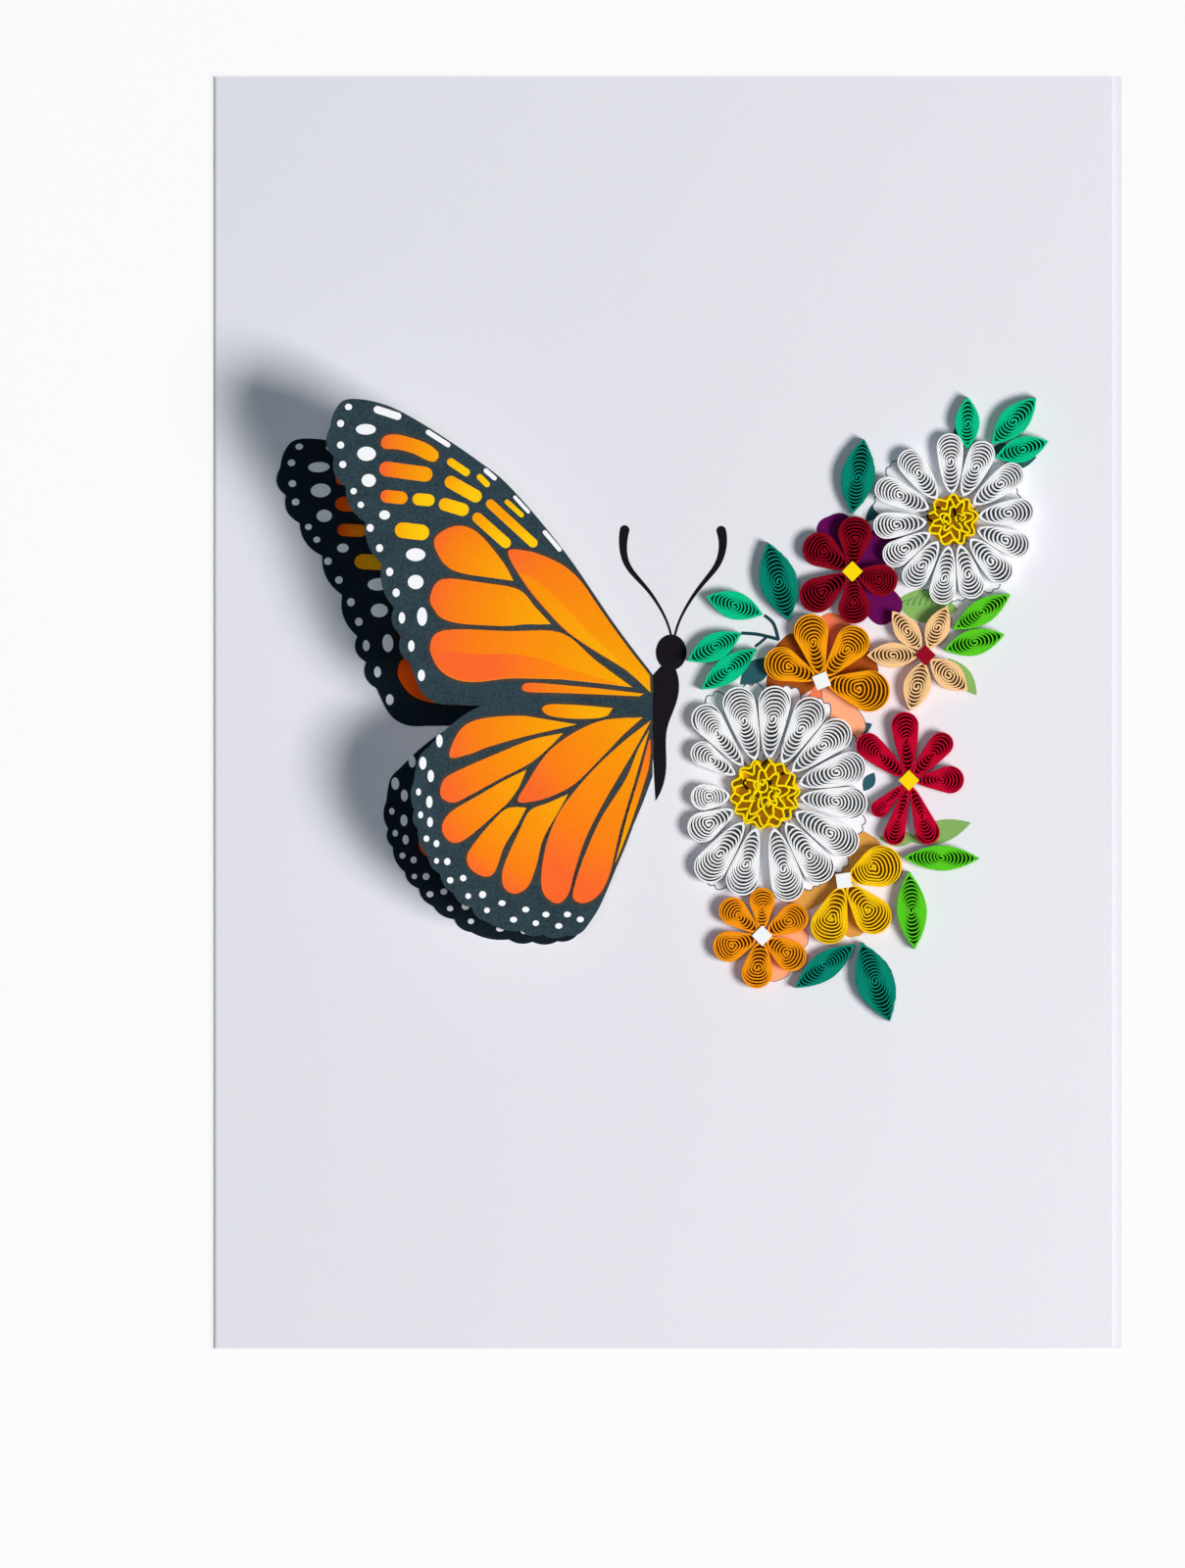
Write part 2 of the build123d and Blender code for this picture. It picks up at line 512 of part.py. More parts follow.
def crimped_eye(centre, radius, lobes):
    """A daisy's eye: one crimped strip wound inwards."""
    teeth = 2 * lobes
    turns = (radius - CRIMP_DEPTH) / CRIMP_PITCH
    path = []
    for i in range(int(teeth * turns)):
        angle = 2 * pi * i / teeth
        r = radius - CRIMP_PITCH * i / teeth - (CRIMP_DEPTH if i % 2 else 0)
        if r < CRIMP_DEPTH:
            break
        path.append((r * cos(angle), r * sin(angle)))
    left, right = [], []
    for i, (x, y) in enumerate(path):
        back = path[max(i - 1, 0)]
        ahead = path[min(i + 1, len(path) - 1)]
        before = atan2(y - back[1], x - back[0]) if i else atan2(ahead[1] - y, ahead[0] - x)
        after = atan2(ahead[1] - y, ahead[0] - x) if i < len(path) - 1 else before
        turn = (after - before + pi) % (2 * pi) - pi
        normal = before + turn / 2 + pi / 2
        mitre = STRIP_THICKNESS / 2 / cos(turn / 2)
        left.append((x + mitre * cos(normal), y + mitre * sin(normal)))
        right.append((x - mitre * cos(normal), y - mitre * sin(normal)))
    strip = Face(Wire(Polyline(*left, *reversed(right), left[0]).edges()))
    return standing(strip, centre[0], centre[1], 0)


def centre_square(centre, turn):
    """A small card square glued over the points of the petals."""
    square = Box(SQUARE_SIDE, SQUARE_SIDE, SQUARE_THICKNESS)
    middle = COIL_SEAT + STRIP_HEIGHT + SQUARE_THICKNESS / 2
    return Pos(centre[0], centre[1], middle) * Rot(0, 0, turn) * square


def tapered_stroke(points, start_width, end_width):
    """A brush stroke along the points that widens to a round end."""
    line = Spline(*points)
    left, right = [], []
    samples = len(points) + 2
    for i in range(samples):
        share = i / (samples - 1)
        half = (start_width + (end_width - start_width) * share ** 2) / 2
        at, along = line @ share, line % share
        left.append((at.X - half * along.Y, at.Y + half * along.X))
        right.append((at.X + half * along.Y, at.Y - half * along.X))
    tip, way = line @ 1, line % 1
    crown = (tip.X + way.X * end_width / 2, tip.Y + way.Y * end_width / 2)
    return Face(Wire([
        Spline(*left),
        ThreePointArc(left[-1], crown, right[-1]),
        Spline(*reversed(right)),
        Line(right[0], left[0]),
    ]))


def printed_body():
    body = Face(Wire([*Polyline(*BODY_LEFT).edges(), Spline(*BODY_RIGHT), Spline(*BODY_NECK)]))
    head = Pos(*HEAD_AT) * Ellipse(*HEAD_HALF)
    drawn = plate(body, CARD_FACE, INK_FILM) + plate(head.face(), CARD_FACE, INK_FILM)
    for feeler in (LEFT_FEELER, RIGHT_FEELER):
        drawn += plate(tapered_stroke(feeler, FEELER_BASE_WIDTH, FEELER_CLUB_WIDTH), CARD_FACE, INK_FILM)
    return group([drawn])


def painted(base, tip, width):
    """A brushed leaf or petal, as a plain marquise of ink."""
    length = hypot(tip[0] - base[0], tip[1] - base[1])
    face = Face(rim_wire(Marquise(length, width)))
    turn = degrees(atan2(tip[1] - base[1], tip[0] - base[0]))
    return plate(Pos(*base) * Rot(0, 0, turn) * face, CARD_FACE, INK_FILM)


def printed_leaves():
    drawn = [painted(*leaf) for leaf in PAINTED_LEAVES]
    stems = [plate(tapered_stroke(stem, STEM_WIDTH, STEM_WIDTH), CARD_FACE, INK_FILM) for stem in STEMS]
    return group(drawn + [stems[0] + stems[1] + stems[2]])


def flowers():
    """Every quilled flower as sub-part names and shapes."""
    parts = {}
    for name, centre, specs, width, eye, lobes in (
        ("large_daisy", LARGE_DAISY_AT, LARGE_DAISY_PETALS, LARGE_DAISY_PETAL_WIDTH, LARGE_DAISY_EYE, 12),
        ("small_daisy", SMALL_DAISY_AT, SMALL_DAISY_PETALS, SMALL_DAISY_PETAL_WIDTH, SMALL_DAISY_EYE, 9),
    ):
        full = [(angle, reach, width) for angle, reach in specs]
        parts[f"{name}_petals"] = group(petals(centre, eye + EYE_CLEARANCE, full))
        parts[f"{name}_eye"] = crimped_eye(centre, eye, lobes)
    for name, centre, specs, shape in (
        ("crimson", CRIMSON_AT, CRIMSON_PETALS, Teardrop), ("orange", ORANGE_AT, ORANGE_PETALS, Teardrop),
        ("peach", PEACH_AT, PEACH_PETALS, Marquise), ("red", RED_AT, RED_PETALS, Teardrop),
        ("yellow", YELLOW_AT, YELLOW_PETALS, Teardrop),
    ):
        for number, coil in enumerate(petals(centre, PETAL_START, specs, shape), 1):
            parts[f"{name}_petal_{number}"] = coil
        parts[f"{name}_square"] = centre_square(centre, SQUARE_TURNS[name])
    parts["small_orange_petals"] = group(petals(SMALL_ORANGE_AT, PETAL_START, SMALL_ORANGE_PETALS))
    parts["small_orange_square"] = centre_square(SMALL_ORANGE_AT, SQUARE_TURNS["small_orange"])
    return parts


def leaves():
    parts = {}
    for name, (base, tip, width) in LEAVES.items():
        length = hypot(tip[0] - base[0], tip[1] - base[1])
        turn = degrees(atan2(tip[1] - base[1], tip[0] - base[0]))
        parts[name] = standing(coil_face(Marquise(length, width)), base[0], base[1], turn)
    return parts


def wings():
    ink = raised_slab(WING_SHEET, INK_FILM)
    lower_ink = CARD_FACE + WING_SHEET

    def on_lower(faces):
        return group([plate(face, lower_ink, INK_FILM) for face in faces])

    lower_cells = orange_faces(under_the_upper) + [bar_face(*bar, under_the_upper) for bar in YELLOW_BARS]
    yellow = [bar_face(*bar, at_hinge) for bar in YELLOW_BARS]
    return {
        "lower_wing": lower_wing(),
        "lower_wing_orange": on_lower(lower_cells),
        "lower_wing_white": on_lower(white_faces(under_the_upper)),
        "upper_wing": upper_wing(),
        "upper_wing_orange": on_raised_wing(orange_faces(at_hinge), ink),
        "upper_wing_yellow": on_raised_wing(yellow, ink),
        "upper_wing_white": on_raised_wing(white_faces(at_hinge), ink),
    }


sub_parts = {
    "card": card(),
    "printed_body": printed_body(),
    "printed_leaves": printed_leaves(),
    "printed_petals": group([painted(*petal) for petal in PAINTED_PETALS]),
    **wings(),
    **leaves(),
    **flowers(),
}

os.makedirs("parts", exist_ok=True)
for name, shape in sub_parts.items():
    export_step(shape, f"parts/{name}.step")
print(len(sub_parts), "sub-parts written")
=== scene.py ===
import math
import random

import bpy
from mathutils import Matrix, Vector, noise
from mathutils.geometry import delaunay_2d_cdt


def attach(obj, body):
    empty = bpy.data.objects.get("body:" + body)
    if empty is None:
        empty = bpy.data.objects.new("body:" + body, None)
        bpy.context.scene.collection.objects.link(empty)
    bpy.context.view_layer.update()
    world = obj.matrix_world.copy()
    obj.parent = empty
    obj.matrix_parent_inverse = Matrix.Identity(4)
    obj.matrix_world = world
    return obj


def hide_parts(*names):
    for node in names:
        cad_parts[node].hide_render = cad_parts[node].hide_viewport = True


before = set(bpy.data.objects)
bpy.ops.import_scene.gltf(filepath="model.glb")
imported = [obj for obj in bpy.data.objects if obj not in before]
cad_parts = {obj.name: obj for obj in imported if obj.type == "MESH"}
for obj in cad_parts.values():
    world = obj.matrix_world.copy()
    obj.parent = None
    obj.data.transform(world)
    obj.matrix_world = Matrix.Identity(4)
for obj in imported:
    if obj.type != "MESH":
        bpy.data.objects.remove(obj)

# %% [markdown]
# A folded card lies on its back. The butterfly on its face has one printed paper wing that
# curves up from the card, and one wing of quilled paper flowers and leaves. The CAD model
# gives every piece its place. This script adds what the eye sees: the many turns of each
# coil, the print, the paper and the light of the studio. Everything is drawn in millimetres
# and turned into Blender's metres when a mesh is made.

MM = 0.001
TAU = 2 * math.pi
scene = bpy.context.scene
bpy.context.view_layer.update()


def colour(red, green, blue):
    """Screen values from 0 to 255 as the linear colour a shader takes."""
    def linear(value):
        value /= 255
        return value / 12.92 if value <= 0.04045 else ((value + 0.055) / 1.055) ** 2.4
    return (linear(red), linear(green), linear(blue), 1.0)


# %% [markdown]
# The origin is at the middle of the card's back. The sizes are those of the CAD model, but
# paper petals press together and spread, which solids with clearances between them can't
# show. So the petals stand closer here, and the daisies' eyes and petals, one golden petal
# and the three top leaves are a little larger.

# %% Sizes
CARD_FACE = 1.1
INK_FILM = 0.05
COIL_SEAT = CARD_FACE + INK_FILM
STRIP_HEIGHT = 2.5
PETAL_CLEARANCE = 0.04
PETAL_FULLNESS = 0.6
HINGE_X, HINGE_Y = -2.1, -1.8
WING_SHEET = 0.25
WING_SEAT = CARD_FACE + WING_SHEET + INK_FILM
WING_REACH, WING_RISE, WING_BOW = 45.2, 24.0, 1.8
FOREWING_SCALLOP, HINDWING_SCALLOP = 0.8, 0.45
LOWER_STRETCH_X, LOWER_STRETCH_Y, LOWER_TURN = 1.086, 0.963, math.radians(2.7)
LOWER_SHIFT = (-1.5, -1.4)
PETAL_START = 0.8
print("the raised wing reaches", WING_REACH, "mm out and", WING_RISE, "mm up")

# %% [markdown]
# Each petal is an angle from +X, its reach from the flower's centre and its width. The
# daisies' petals all have one width. Each leaf has its base, its tip, its width and its
# strip's colour. Angles and reaches are easy to read off a flower, and a petal can be mended
# without moving its neighbours.

# %% Flowers and leaves
LARGE_DAISY_AT, LARGE_DAISY_EYE, LARGE_DAISY_WIDTH = (13.6, -11.4), 4.75, 4.55
LARGE_DAISY = (
    (128, 15.4), (106, 15.5), (84, 15.2), (61, 15.2), (40, 15.2), (17, 14.7), (-6, 14.4),
    (-31, 15.0), (-54, 15.0), (-76, 15.4), (-105, 14.6), (-127, 15.0), (-152, 12.0), (-177, 10.4),
    (147, 12.1),
)
SMALL_DAISY_AT, SMALL_DAISY_EYE, SMALL_DAISY_WIDTH = (39.8, 26.9), 3.45, 3.7
SMALL_DAISY = (
    (92, 12.1), (66, 11.9), (37, 12.1), (7, 11.5), (-21, 11.5), (-47, 11.6), (-74, 11.4),
    (-98, 11.9), (-124, 11.2), (-149, 11.1), (-175, 11.1), (155, 11.8), (126, 11.8),
)
EYE_CLEARANCE = 0.15
FLOWERS = {
    "crimson": ((25.8, 19.7), ((146, 7.9, 5.2), (86, 7.7, 5.0), (-17, 6.5, 4.5), (-87, 7.3, 5.0),
                               (-146, 8.4, 4.9))),
    "orange": ((21.5, 4.4), ((157, 8.5, 5.2), (102, 9.5, 5.0), (51, 9.3, 5.0), (-12, 9.7, 5.8))),
    "peach": ((36.0, 8.0), ((180, 8.2, 3.7), (127, 7.7, 3.2), (66, 7.5, 3.1), (-40, 7.7, 3.5),
                            (-105, 8.1, 3.6))),
    "red": ((33.7, -9.5), ((94, 9.6, 3.8), (48, 8.5, 3.3), (1, 7.7, 3.9), (-70, 9.4, 3.4),
                           (-105, 9.3, 3.4), (-136, 6.9, 3.2), (139, 9.2, 3.5))),
    "yellow": ((24.6, -23.5), ((21, 8.5, 7.0), (-50, 9.0, 5.2), (-108, 9.2, 5.4))),
    "small_orange": ((13.2, -31.2), ((140, 7.3, 4.2), (90, 6.7, 3.6), (29, 7.1, 4.1),
                                     (-35, 7.1, 4.3), (-98, 7.4, 4.3), (-162, 7.1, 4.5))),
}
LEAVES = {
    "top_leaf_left": ((41.85, 36.8), (41.9, 44.1), 3.2, "mint"),
    "top_leaf_middle": ((45.3, 37.5), (51.5, 44.0), 3.7, "mint"),
    "top_leaf_right": ((45.8, 35.6), (53.2, 37.9), 3.3, "mint"),
    "upper_teal_leaf": ((25.8, 27.8), (27.4, 38.2), 4.3, "teal"),
    "middle_teal_leaf": ((17.0, 12.9), (14.0, 23.7), 4.8, "teal"),
    "sprig_leaf_top": ((13.3, 13.7), (5.4, 16.2), 3.6, "mint"),
    "sprig_leaf_middle": ((10.3, 11.1), (2.8, 7.2), 3.5, "mint"),
    "sprig_leaf_bottom": ((12.4, 8.9), (4.7, 3.2), 3.3, "mint"),
    "bright_leaf_top": ((39.9, 11.6), (47.9, 16.5), 3.2, "lime"),
    "bright_leaf_bottom": ((38.6, 8.7), (47.1, 10.9), 3.4, "lime"),
    "lime_leaf_right": ((32.9, -20.3), (43.6, -20.4), 3.3, "lime"),
    "lime_leaf_down": ((33.7, -22.2), (34.5, -33.1), 3.9, "lime"),
    "bottom_leaf_left": ((26.2, -32.4), (17.8, -38.5), 3.5, "teal"),
    "bottom_leaf_right": ((27.1, -32.2), (31.0, -43.1), 4.8, "teal"),
}
print(len(FLOWERS) + 2, "flowers and", len(LEAVES), "leaves")

# %% [markdown]
# The wing's outline and print are measured from the middle of the hinge line. The scallops
# between the notches are arcs, so only the notches are listed. Each orange cell starts and
# ends at its sharp corner, a bar has two ends and a width, and a spot has its middle and its
# two half sizes. Curves could be drawn by hand in the viewport, but lists of points are plain
# to read and mend, and smooth lines are laid through them later.

# %% Wing outline and print
LEADING_EDGE = (
    (0.0, 7.1), (-5.3, 14.1), (-12.2, 24.1), (-19.6, 32.9), (-24.3, 36.8), (-32.0, 41.9),
    (-37.4, 44.6), (-42.3, 45.3), (-44.2, 43.7), (-44.9, 41.2),
)
FOREWING_NOTCHES = (
    (-44.9, 41.2), (-44.3, 37.2), (-42.7, 33.1), (-40.0, 28.2), (-37.7, 22.4), (-36.0, 16.3),
    (-35.0, 12.5), (-33.8, 8.6),
)
WAIST = ((-33.8, 8.6), (-32.3, 4.8), (-30.2, 3.1), (-27.0, 2.8), (-23.8, 2.7))
HINDWING_SHOULDER = (
    (-23.8, 2.7), (-26.0, 1.6), (-28.7, -0.5), (-31.1, -2.9), (-32.6, -4.6), (-33.3, -7.9),
)
HINDWING_NOTCHES = (
    (-33.3, -7.9), (-33.2, -11.8), (-32.7, -14.5), (-31.3, -18.2), (-29.6, -20.7), (-27.8, -23.4),
    (-25.2, -25.4), (-23.1, -27.4), (-18.3, -28.7), (-15.3, -29.2), (-12.1, -29.3), (-9.4, -28.4),
)
INNER_EDGE = (
    (-9.4, -28.4), (-7.6, -25.7), (-5.8, -21.7), (-3.5, -15.9), (-1.4, -10.9), (0.0, -7.1),
)
WING_CELLS = (
    ((-19.4, 20.1), (-21.0, 22.9), (-24.5, 26.9), (-27.6, 27.7), (-30.4, 25.9), (-29.6, 23.2),
     (-27.9, 21.6), (-25.4, 20.9)),
    ((-14.2, 14.1), (-16.4, 16.5), (-18.7, 18.9), (-23.5, 19.8), (-29.3, 20.3), (-31.0, 17.8),
     (-30.4, 16.0), (-29.2, 14.8), (-26.5, 14.1), (-21.0, 13.8)),
    ((-2.8, 5.3), (-8.0, 9.1), (-12.8, 12.9), (-20.0, 13.1), (-29.0, 13.2), (-31.0, 11.0),
     (-29.9, 8.0), (-27.6, 6.4), (-24.6, 6.0), (-19.9, 6.5), (-12.8, 6.4)),
    ((-0.3, 4.6), (-3.6, 7.6), (-7.8, 10.2), (-11.9, 13.0), (-15.0, 16.2), (-17.9, 19.8),
     (-20.2, 24.1), (-17.6, 24.3), (-14.7, 23.4), (-11.9, 21.9), (-9.7, 19.7), (-7.8, 16.9),
     (-4.0, 11.6), (-0.4, 7.0)),
    ((-10.6, 0.1), (-14.8, 0.8), (-18.3, 1.3), (-22.5, 1.1), (-25.4, 0.4), (-27.2, -1.2),
     (-28.3, -4.4), (-25.7, -4.1), (-22.8, -3.0), (-18.3, -1.7), (-14.5, -0.8)),
    ((-12.5, -1.1), (-16.8, -2.0), (-21.3, -3.8), (-26.6, -6.1), (-29.1, -7.6), (-29.5, -9.9),
     (-27.8, -10.8), (-25.7, -9.9), (-21.3, -7.5), (-17.1, -5.3), (-14.2, -2.9)),
    ((-17.6, -6.2), (-20.7, -7.7), (-24.3, -9.8), (-28.0, -12.0), (-29.3, -13.9), (-28.9, -15.6),
     (-27.5, -16.4), (-25.7, -15.6), (-22.5, -12.9), (-20.1, -10.7), (-18.6, -8.6)),
    ((-17.6, -11.5), (-20.3, -11.6), (-22.5, -13.6), (-24.9, -16.5), (-25.9, -18.4), (-25.3, -20.1),
     (-23.4, -21.1), (-22.0, -20.4), (-20.7, -16.9), (-18.9, -14.0)),
    ((-11.8, -9.6), (-14.5, -10.8), (-17.1, -11.9), (-18.6, -14.7), (-20.6, -19.2), (-21.0, -21.3),
     (-20.6, -22.8), (-19.2, -23.5), (-17.4, -22.5), (-16.2, -19.5), (-15.3, -15.9),
     (-13.3, -12.3)),
    ((-1.4, 1.1), (-6.4, 0.8), (-10.0, -0.5), (-13.3, -2.6), (-15.3, -4.6), (-17.6, -8.2),
     (-18.8, -10.6), (-16.5, -10.6), (-13.9, -9.8), (-10.9, -8.2), (-7.6, -5.0), (-4.1, -1.3)),
    ((-0.2, 0.7), (-3.5, -1.8), (-7.6, -5.5), (-10.9, -9.2), (-13.3, -12.6), (-14.8, -16.5),
     (-15.5, -20.4), (-15.4, -23.0), (-14.4, -24.4), (-13.0, -24.8), (-11.7, -23.4), (-10.9, -20.4),
     (-9.4, -15.9), (-6.9, -10.9), (-2.9, -4.1)),
    ((-0.45, -0.6), (-2.0, -3.3), (-3.8, -7.6), (-7.1, -12.8), (-9.2, -17.4), (-10.6, -21.3),
     (-11.1, -24.1), (-9.4, -24.8), (-7.3, -23.4), (-5.9, -20.4), (-4.5, -14.5), (-2.7, -8.5)),
    ((-5.3, -19.4), (-4.65, -17.0), (-3.4, -12.2), (-1.75, -6.8), (-0.4, -1.9), (-0.45, -5.4),
     (-1.6, -9.4), (-3.0, -13.6), (-4.2, -16.8)),
    ((-5.6, 2.4), (-10.3, 2.8), (-14.4, 2.9), (-15.4, 2.2), (-14.3, 1.3), (-11.0, 0.9), (-7.6, 1.0),
     (-6.2, 1.4)),
    ((-29.85, 37.95), (-31.2, 39.05), (-33.4, 39.9), (-35.6, 40.4), (-37.1, 40.25), (-37.8, 39.4),
     (-37.4, 38.45), (-35.6, 38.35), (-33.4, 37.8), (-31.65, 36.95), (-30.45, 36.65),
     (-29.8, 37.25)),
    ((-1.2, 4.4), (-7.7, 5.15), (-13.1, 5.65), (-17.2, 5.9), (-18.2, 5.35), (-17.5, 4.65),
     (-13.1, 4.5), (-7.7, 4.3), (-1.9, 4.05)),
)
ORANGE_BARS = (((-37.0, 35.6), (-31.7, 34.9), 2.1), ((-37.0, 31.8), (-35.0, 31.6), 1.8))
YELLOW_BARS = (
    ((-32.6, 31.4), (-31.2, 31.3), 1.7), ((-28.9, 30.7), (-26.5, 30.0), 1.8),
    ((-34.8, 27.1), (-32.2, 26.8), 2.2), ((-28.1, 36.6), (-26.0, 35.2), 1.1),
    ((-24.1, 34.55), (-23.1, 33.55), 0.85), ((-28.1, 33.8), (-24.7, 31.9), 1.8),
    ((-24.4, 28.85), (-20.5, 25.4), 1.5), ((-22.6, 30.8), (-16.7, 25.4), 1.3),
    ((-20.3, 31.1), (-18.3, 29.3), 0.7),
)
WHITE_BARS = (
    ((-38.3, 43.85), (-35.5, 42.95), 1.05), ((-31.25, 40.75), (-28.5, 39.0), 0.7),
    ((-23.25, 35.45), (-22.05, 34.4), 0.65), ((-19.2, 31.75), (-17.35, 29.75), 0.5),
    ((-15.05, 26.9), (-13.0, 24.5), 0.6),
)
WHITE_SPOTS = (
    (-42.3, 44.2, 0.5, 0.45), (-43.4, 41.9, 0.5, 0.5), (-43.4, 38.9, 0.5, 0.5),
    (-43.1, 36.2, 0.5, 0.5), (-41.6, 32.5, 0.45, 0.45), (-40.6, 30.6, 0.45, 0.45),
    (-39.3, 27.4, 0.5, 0.55), (-38.0, 24.6, 0.5, 0.55), (-36.6, 21.3, 0.5, 0.6),
    (-35.7, 18.4, 0.5, 0.6), (-34.9, 14.9, 0.45, 0.8), (-33.6, 11.0, 0.45, 0.8),
    (-32.2, 6.9, 0.5, 0.8), (-39.9, 41.1, 1.4, 0.75), (-39.8, 37.7, 1.3, 1.0),
    (-39.5, 34.0, 1.0, 0.9), (-37.3, 29.2, 0.75, 0.65), (-33.0, 23.7, 1.35, 0.9),
    (-33.0, 19.9, 1.1, 1.0), (-32.1, 15.1, 0.7, 1.3), (-29.7, -2.2, 0.45, 0.9),
    (-32.0, -5.3, 0.5, 0.9), (-30.9, -7.1, 0.45, 0.85), (-32.6, -9.3, 0.35, 0.5),
    (-31.1, -10.7, 0.45, 0.85), (-32.3, -12.5, 0.35, 0.5), (-31.0, -13.5, 0.4, 0.7),
    (-31.5, -15.8, 0.4, 0.45), (-30.1, -16.5, 0.4, 0.5), (-30.1, -18.9, 0.35, 0.4),
    (-28.6, -19.0, 0.45, 0.5), (-28.2, -21.6, 0.45, 0.45), (-26.4, -21.3, 0.45, 0.45),
    (-25.7, -23.8, 0.4, 0.4), (-23.7, -23.6, 0.5, 0.5), (-23.1, -25.8, 0.4, 0.4),
    (-21.0, -24.8, 0.5, 0.4), (-19.4, -27.1, 0.5, 0.4), (-17.7, -25.7, 0.5, 0.4),
    (-16.3, -27.6, 0.45, 0.4), (-14.9, -26.4, 0.5, 0.4), (-13.1, -28.0, 0.5, 0.4),
    (-11.9, -26.4, 0.5, 0.4), (-10.1, -27.1, 0.5, 0.4),
)
# How much redder or yellower some cells are, by their place in the list of cells
CELL_SHIFTS = {5: 0.06, 9: 0.12, 10: 0.15, 11: 0.1, 13: -0.35}
# A redder fan in one cell and a yellower streak in the next: the cell, how much redder, and
# the outline
STREAKS = (
    (2, 0.30, ((-30.5, 10.2), (-24.0, 9.9), (-17.7, 9.7), (-10.5, 7.5), (-4.6, 5.6), (-12.8, 6.5),
               (-19.9, 6.6), (-24.6, 6.15), (-27.5, 6.6), (-29.6, 8.3))),
    (3, -0.30, ((-18.4, 21.2), (-15.4, 19.6), (-12.1, 16.4), (-8.3, 12.4), (-4.6, 8.7),
                (-7.8, 10.4), (-11.8, 13.2), (-14.9, 16.4), (-17.7, 19.9))),
)
print(len(WING_CELLS), "cells and", len(WHITE_SPOTS), "spots")

# %% [markdown]
# The real card is coated paper, the wings are printed paper, and the coils are dyed strips
# seen on their cut edges. A picture of paper could be laid on, but noise in the object's own
# coordinates gives a grain that is right from every side and needs no unwrapping. It is one
# node group, which each paper and ink takes with its own strength. A strip's cut edge is
# drawn paler than its walls, a painted highlight for the light that it catches, so faces
# that look up take a second colour.


# %% Grain
def new_group(name, sockets):
    """An empty node group with the sockets listed."""
    group = bpy.data.node_groups.new(name, "ShaderNodeTree")
    for direction, kind, label, value in sockets:
        socket = group.interface.new_socket(label, in_out=direction, socket_type=kind)
        if value is not None:
            socket.default_value = value
    return group


def node(tree, kind, **settings):
    """A new node with these settings."""
    made = tree.nodes.new(kind)
    for key, value in settings.items():
        setattr(made, key, value)
    return made


def worked(tree, operation, *values):
    """The output of a math node that takes numbers or other nodes' outputs."""
    made = node(tree, "ShaderNodeMath", operation=operation)
    for socket, value in zip(made.inputs, values):
        if isinstance(value, (int, float)):
            socket.default_value = value
        else:
            tree.links.new(value, socket)
    return made.outputs[0]


# How fine each noise is, and its detail
FINE_GRAIN, BROAD_MOTTLE = (2800, 3), (260, 4)
BROAD_SHARE = 0.35
GRAIN_DEPTH = 0.04 * MM


def grain_group():
    """A colour with fine paper grain and soft mottling, and the grain's bumps as a normal."""
    group = new_group("paper grain", (
        ("INPUT", "NodeSocketColor", "Colour", (0.8, 0.8, 0.8, 1)),
        ("INPUT", "NodeSocketFloat", "Speckle", 0.1),
        ("INPUT", "NodeSocketFloat", "Bump", 0.1),
        ("OUTPUT", "NodeSocketColor", "Colour", None),
        ("OUTPUT", "NodeSocketVector", "Normal", None),
    ))
    links = group.links
    inside, outside = node(group, "NodeGroupInput"), node(group, "NodeGroupOutput")
    place = node(group, "ShaderNodeTexCoord")
    patterns = []
    for scale, detail in (FINE_GRAIN, BROAD_MOTTLE):
        pattern = node(group, "ShaderNodeTexNoise")
        pattern.inputs["Scale"].default_value = scale
        pattern.inputs["Detail"].default_value = detail
        links.new(place.outputs["Object"], pattern.inputs["Vector"])
        patterns.append(pattern.outputs["Fac"])
    fine, broad = patterns
    both = worked(group, "MULTIPLY_ADD", broad, BROAD_SHARE, fine)
    centred = worked(group, "SUBTRACT", both, 0.5 + 0.5 * BROAD_SHARE)
    scaled = worked(group, "MULTIPLY_ADD", centred, inside.outputs["Speckle"], 1.0)
    tinted = node(group, "ShaderNodeVectorMath", operation="SCALE")
    links.new(inside.outputs["Colour"], tinted.inputs[0])
    links.new(scaled, tinted.inputs["Scale"])
    bump = node(group, "ShaderNodeBump")
    bump.inputs["Distance"].default_value = GRAIN_DEPTH
    links.new(inside.outputs["Bump"], bump.inputs["Strength"])
    links.new(fine, bump.inputs["Height"])
    links.new(tinted.outputs[0], outside.inputs["Colour"])
    links.new(bump.outputs["Normal"], outside.inputs["Normal"])
    return group


GRAIN = grain_group()
print(len(GRAIN.nodes), "nodes make the grain")

# %% [markdown]
# Every finish here is one kind of material with its own values, so that the card, the prints
# and the strips look as if they were made in one workshop. A strip has a second, paler colour
# for its cut edge, a painted highlight, and painted shade on its walls, and a wing cell has a
# ramp from yellow to red. The shade and the ramp both read a tone that each point of a mesh
# carries, so that the colour follows the form of the piece.

# %% One paper
PAPER_GLOSS = 0.06


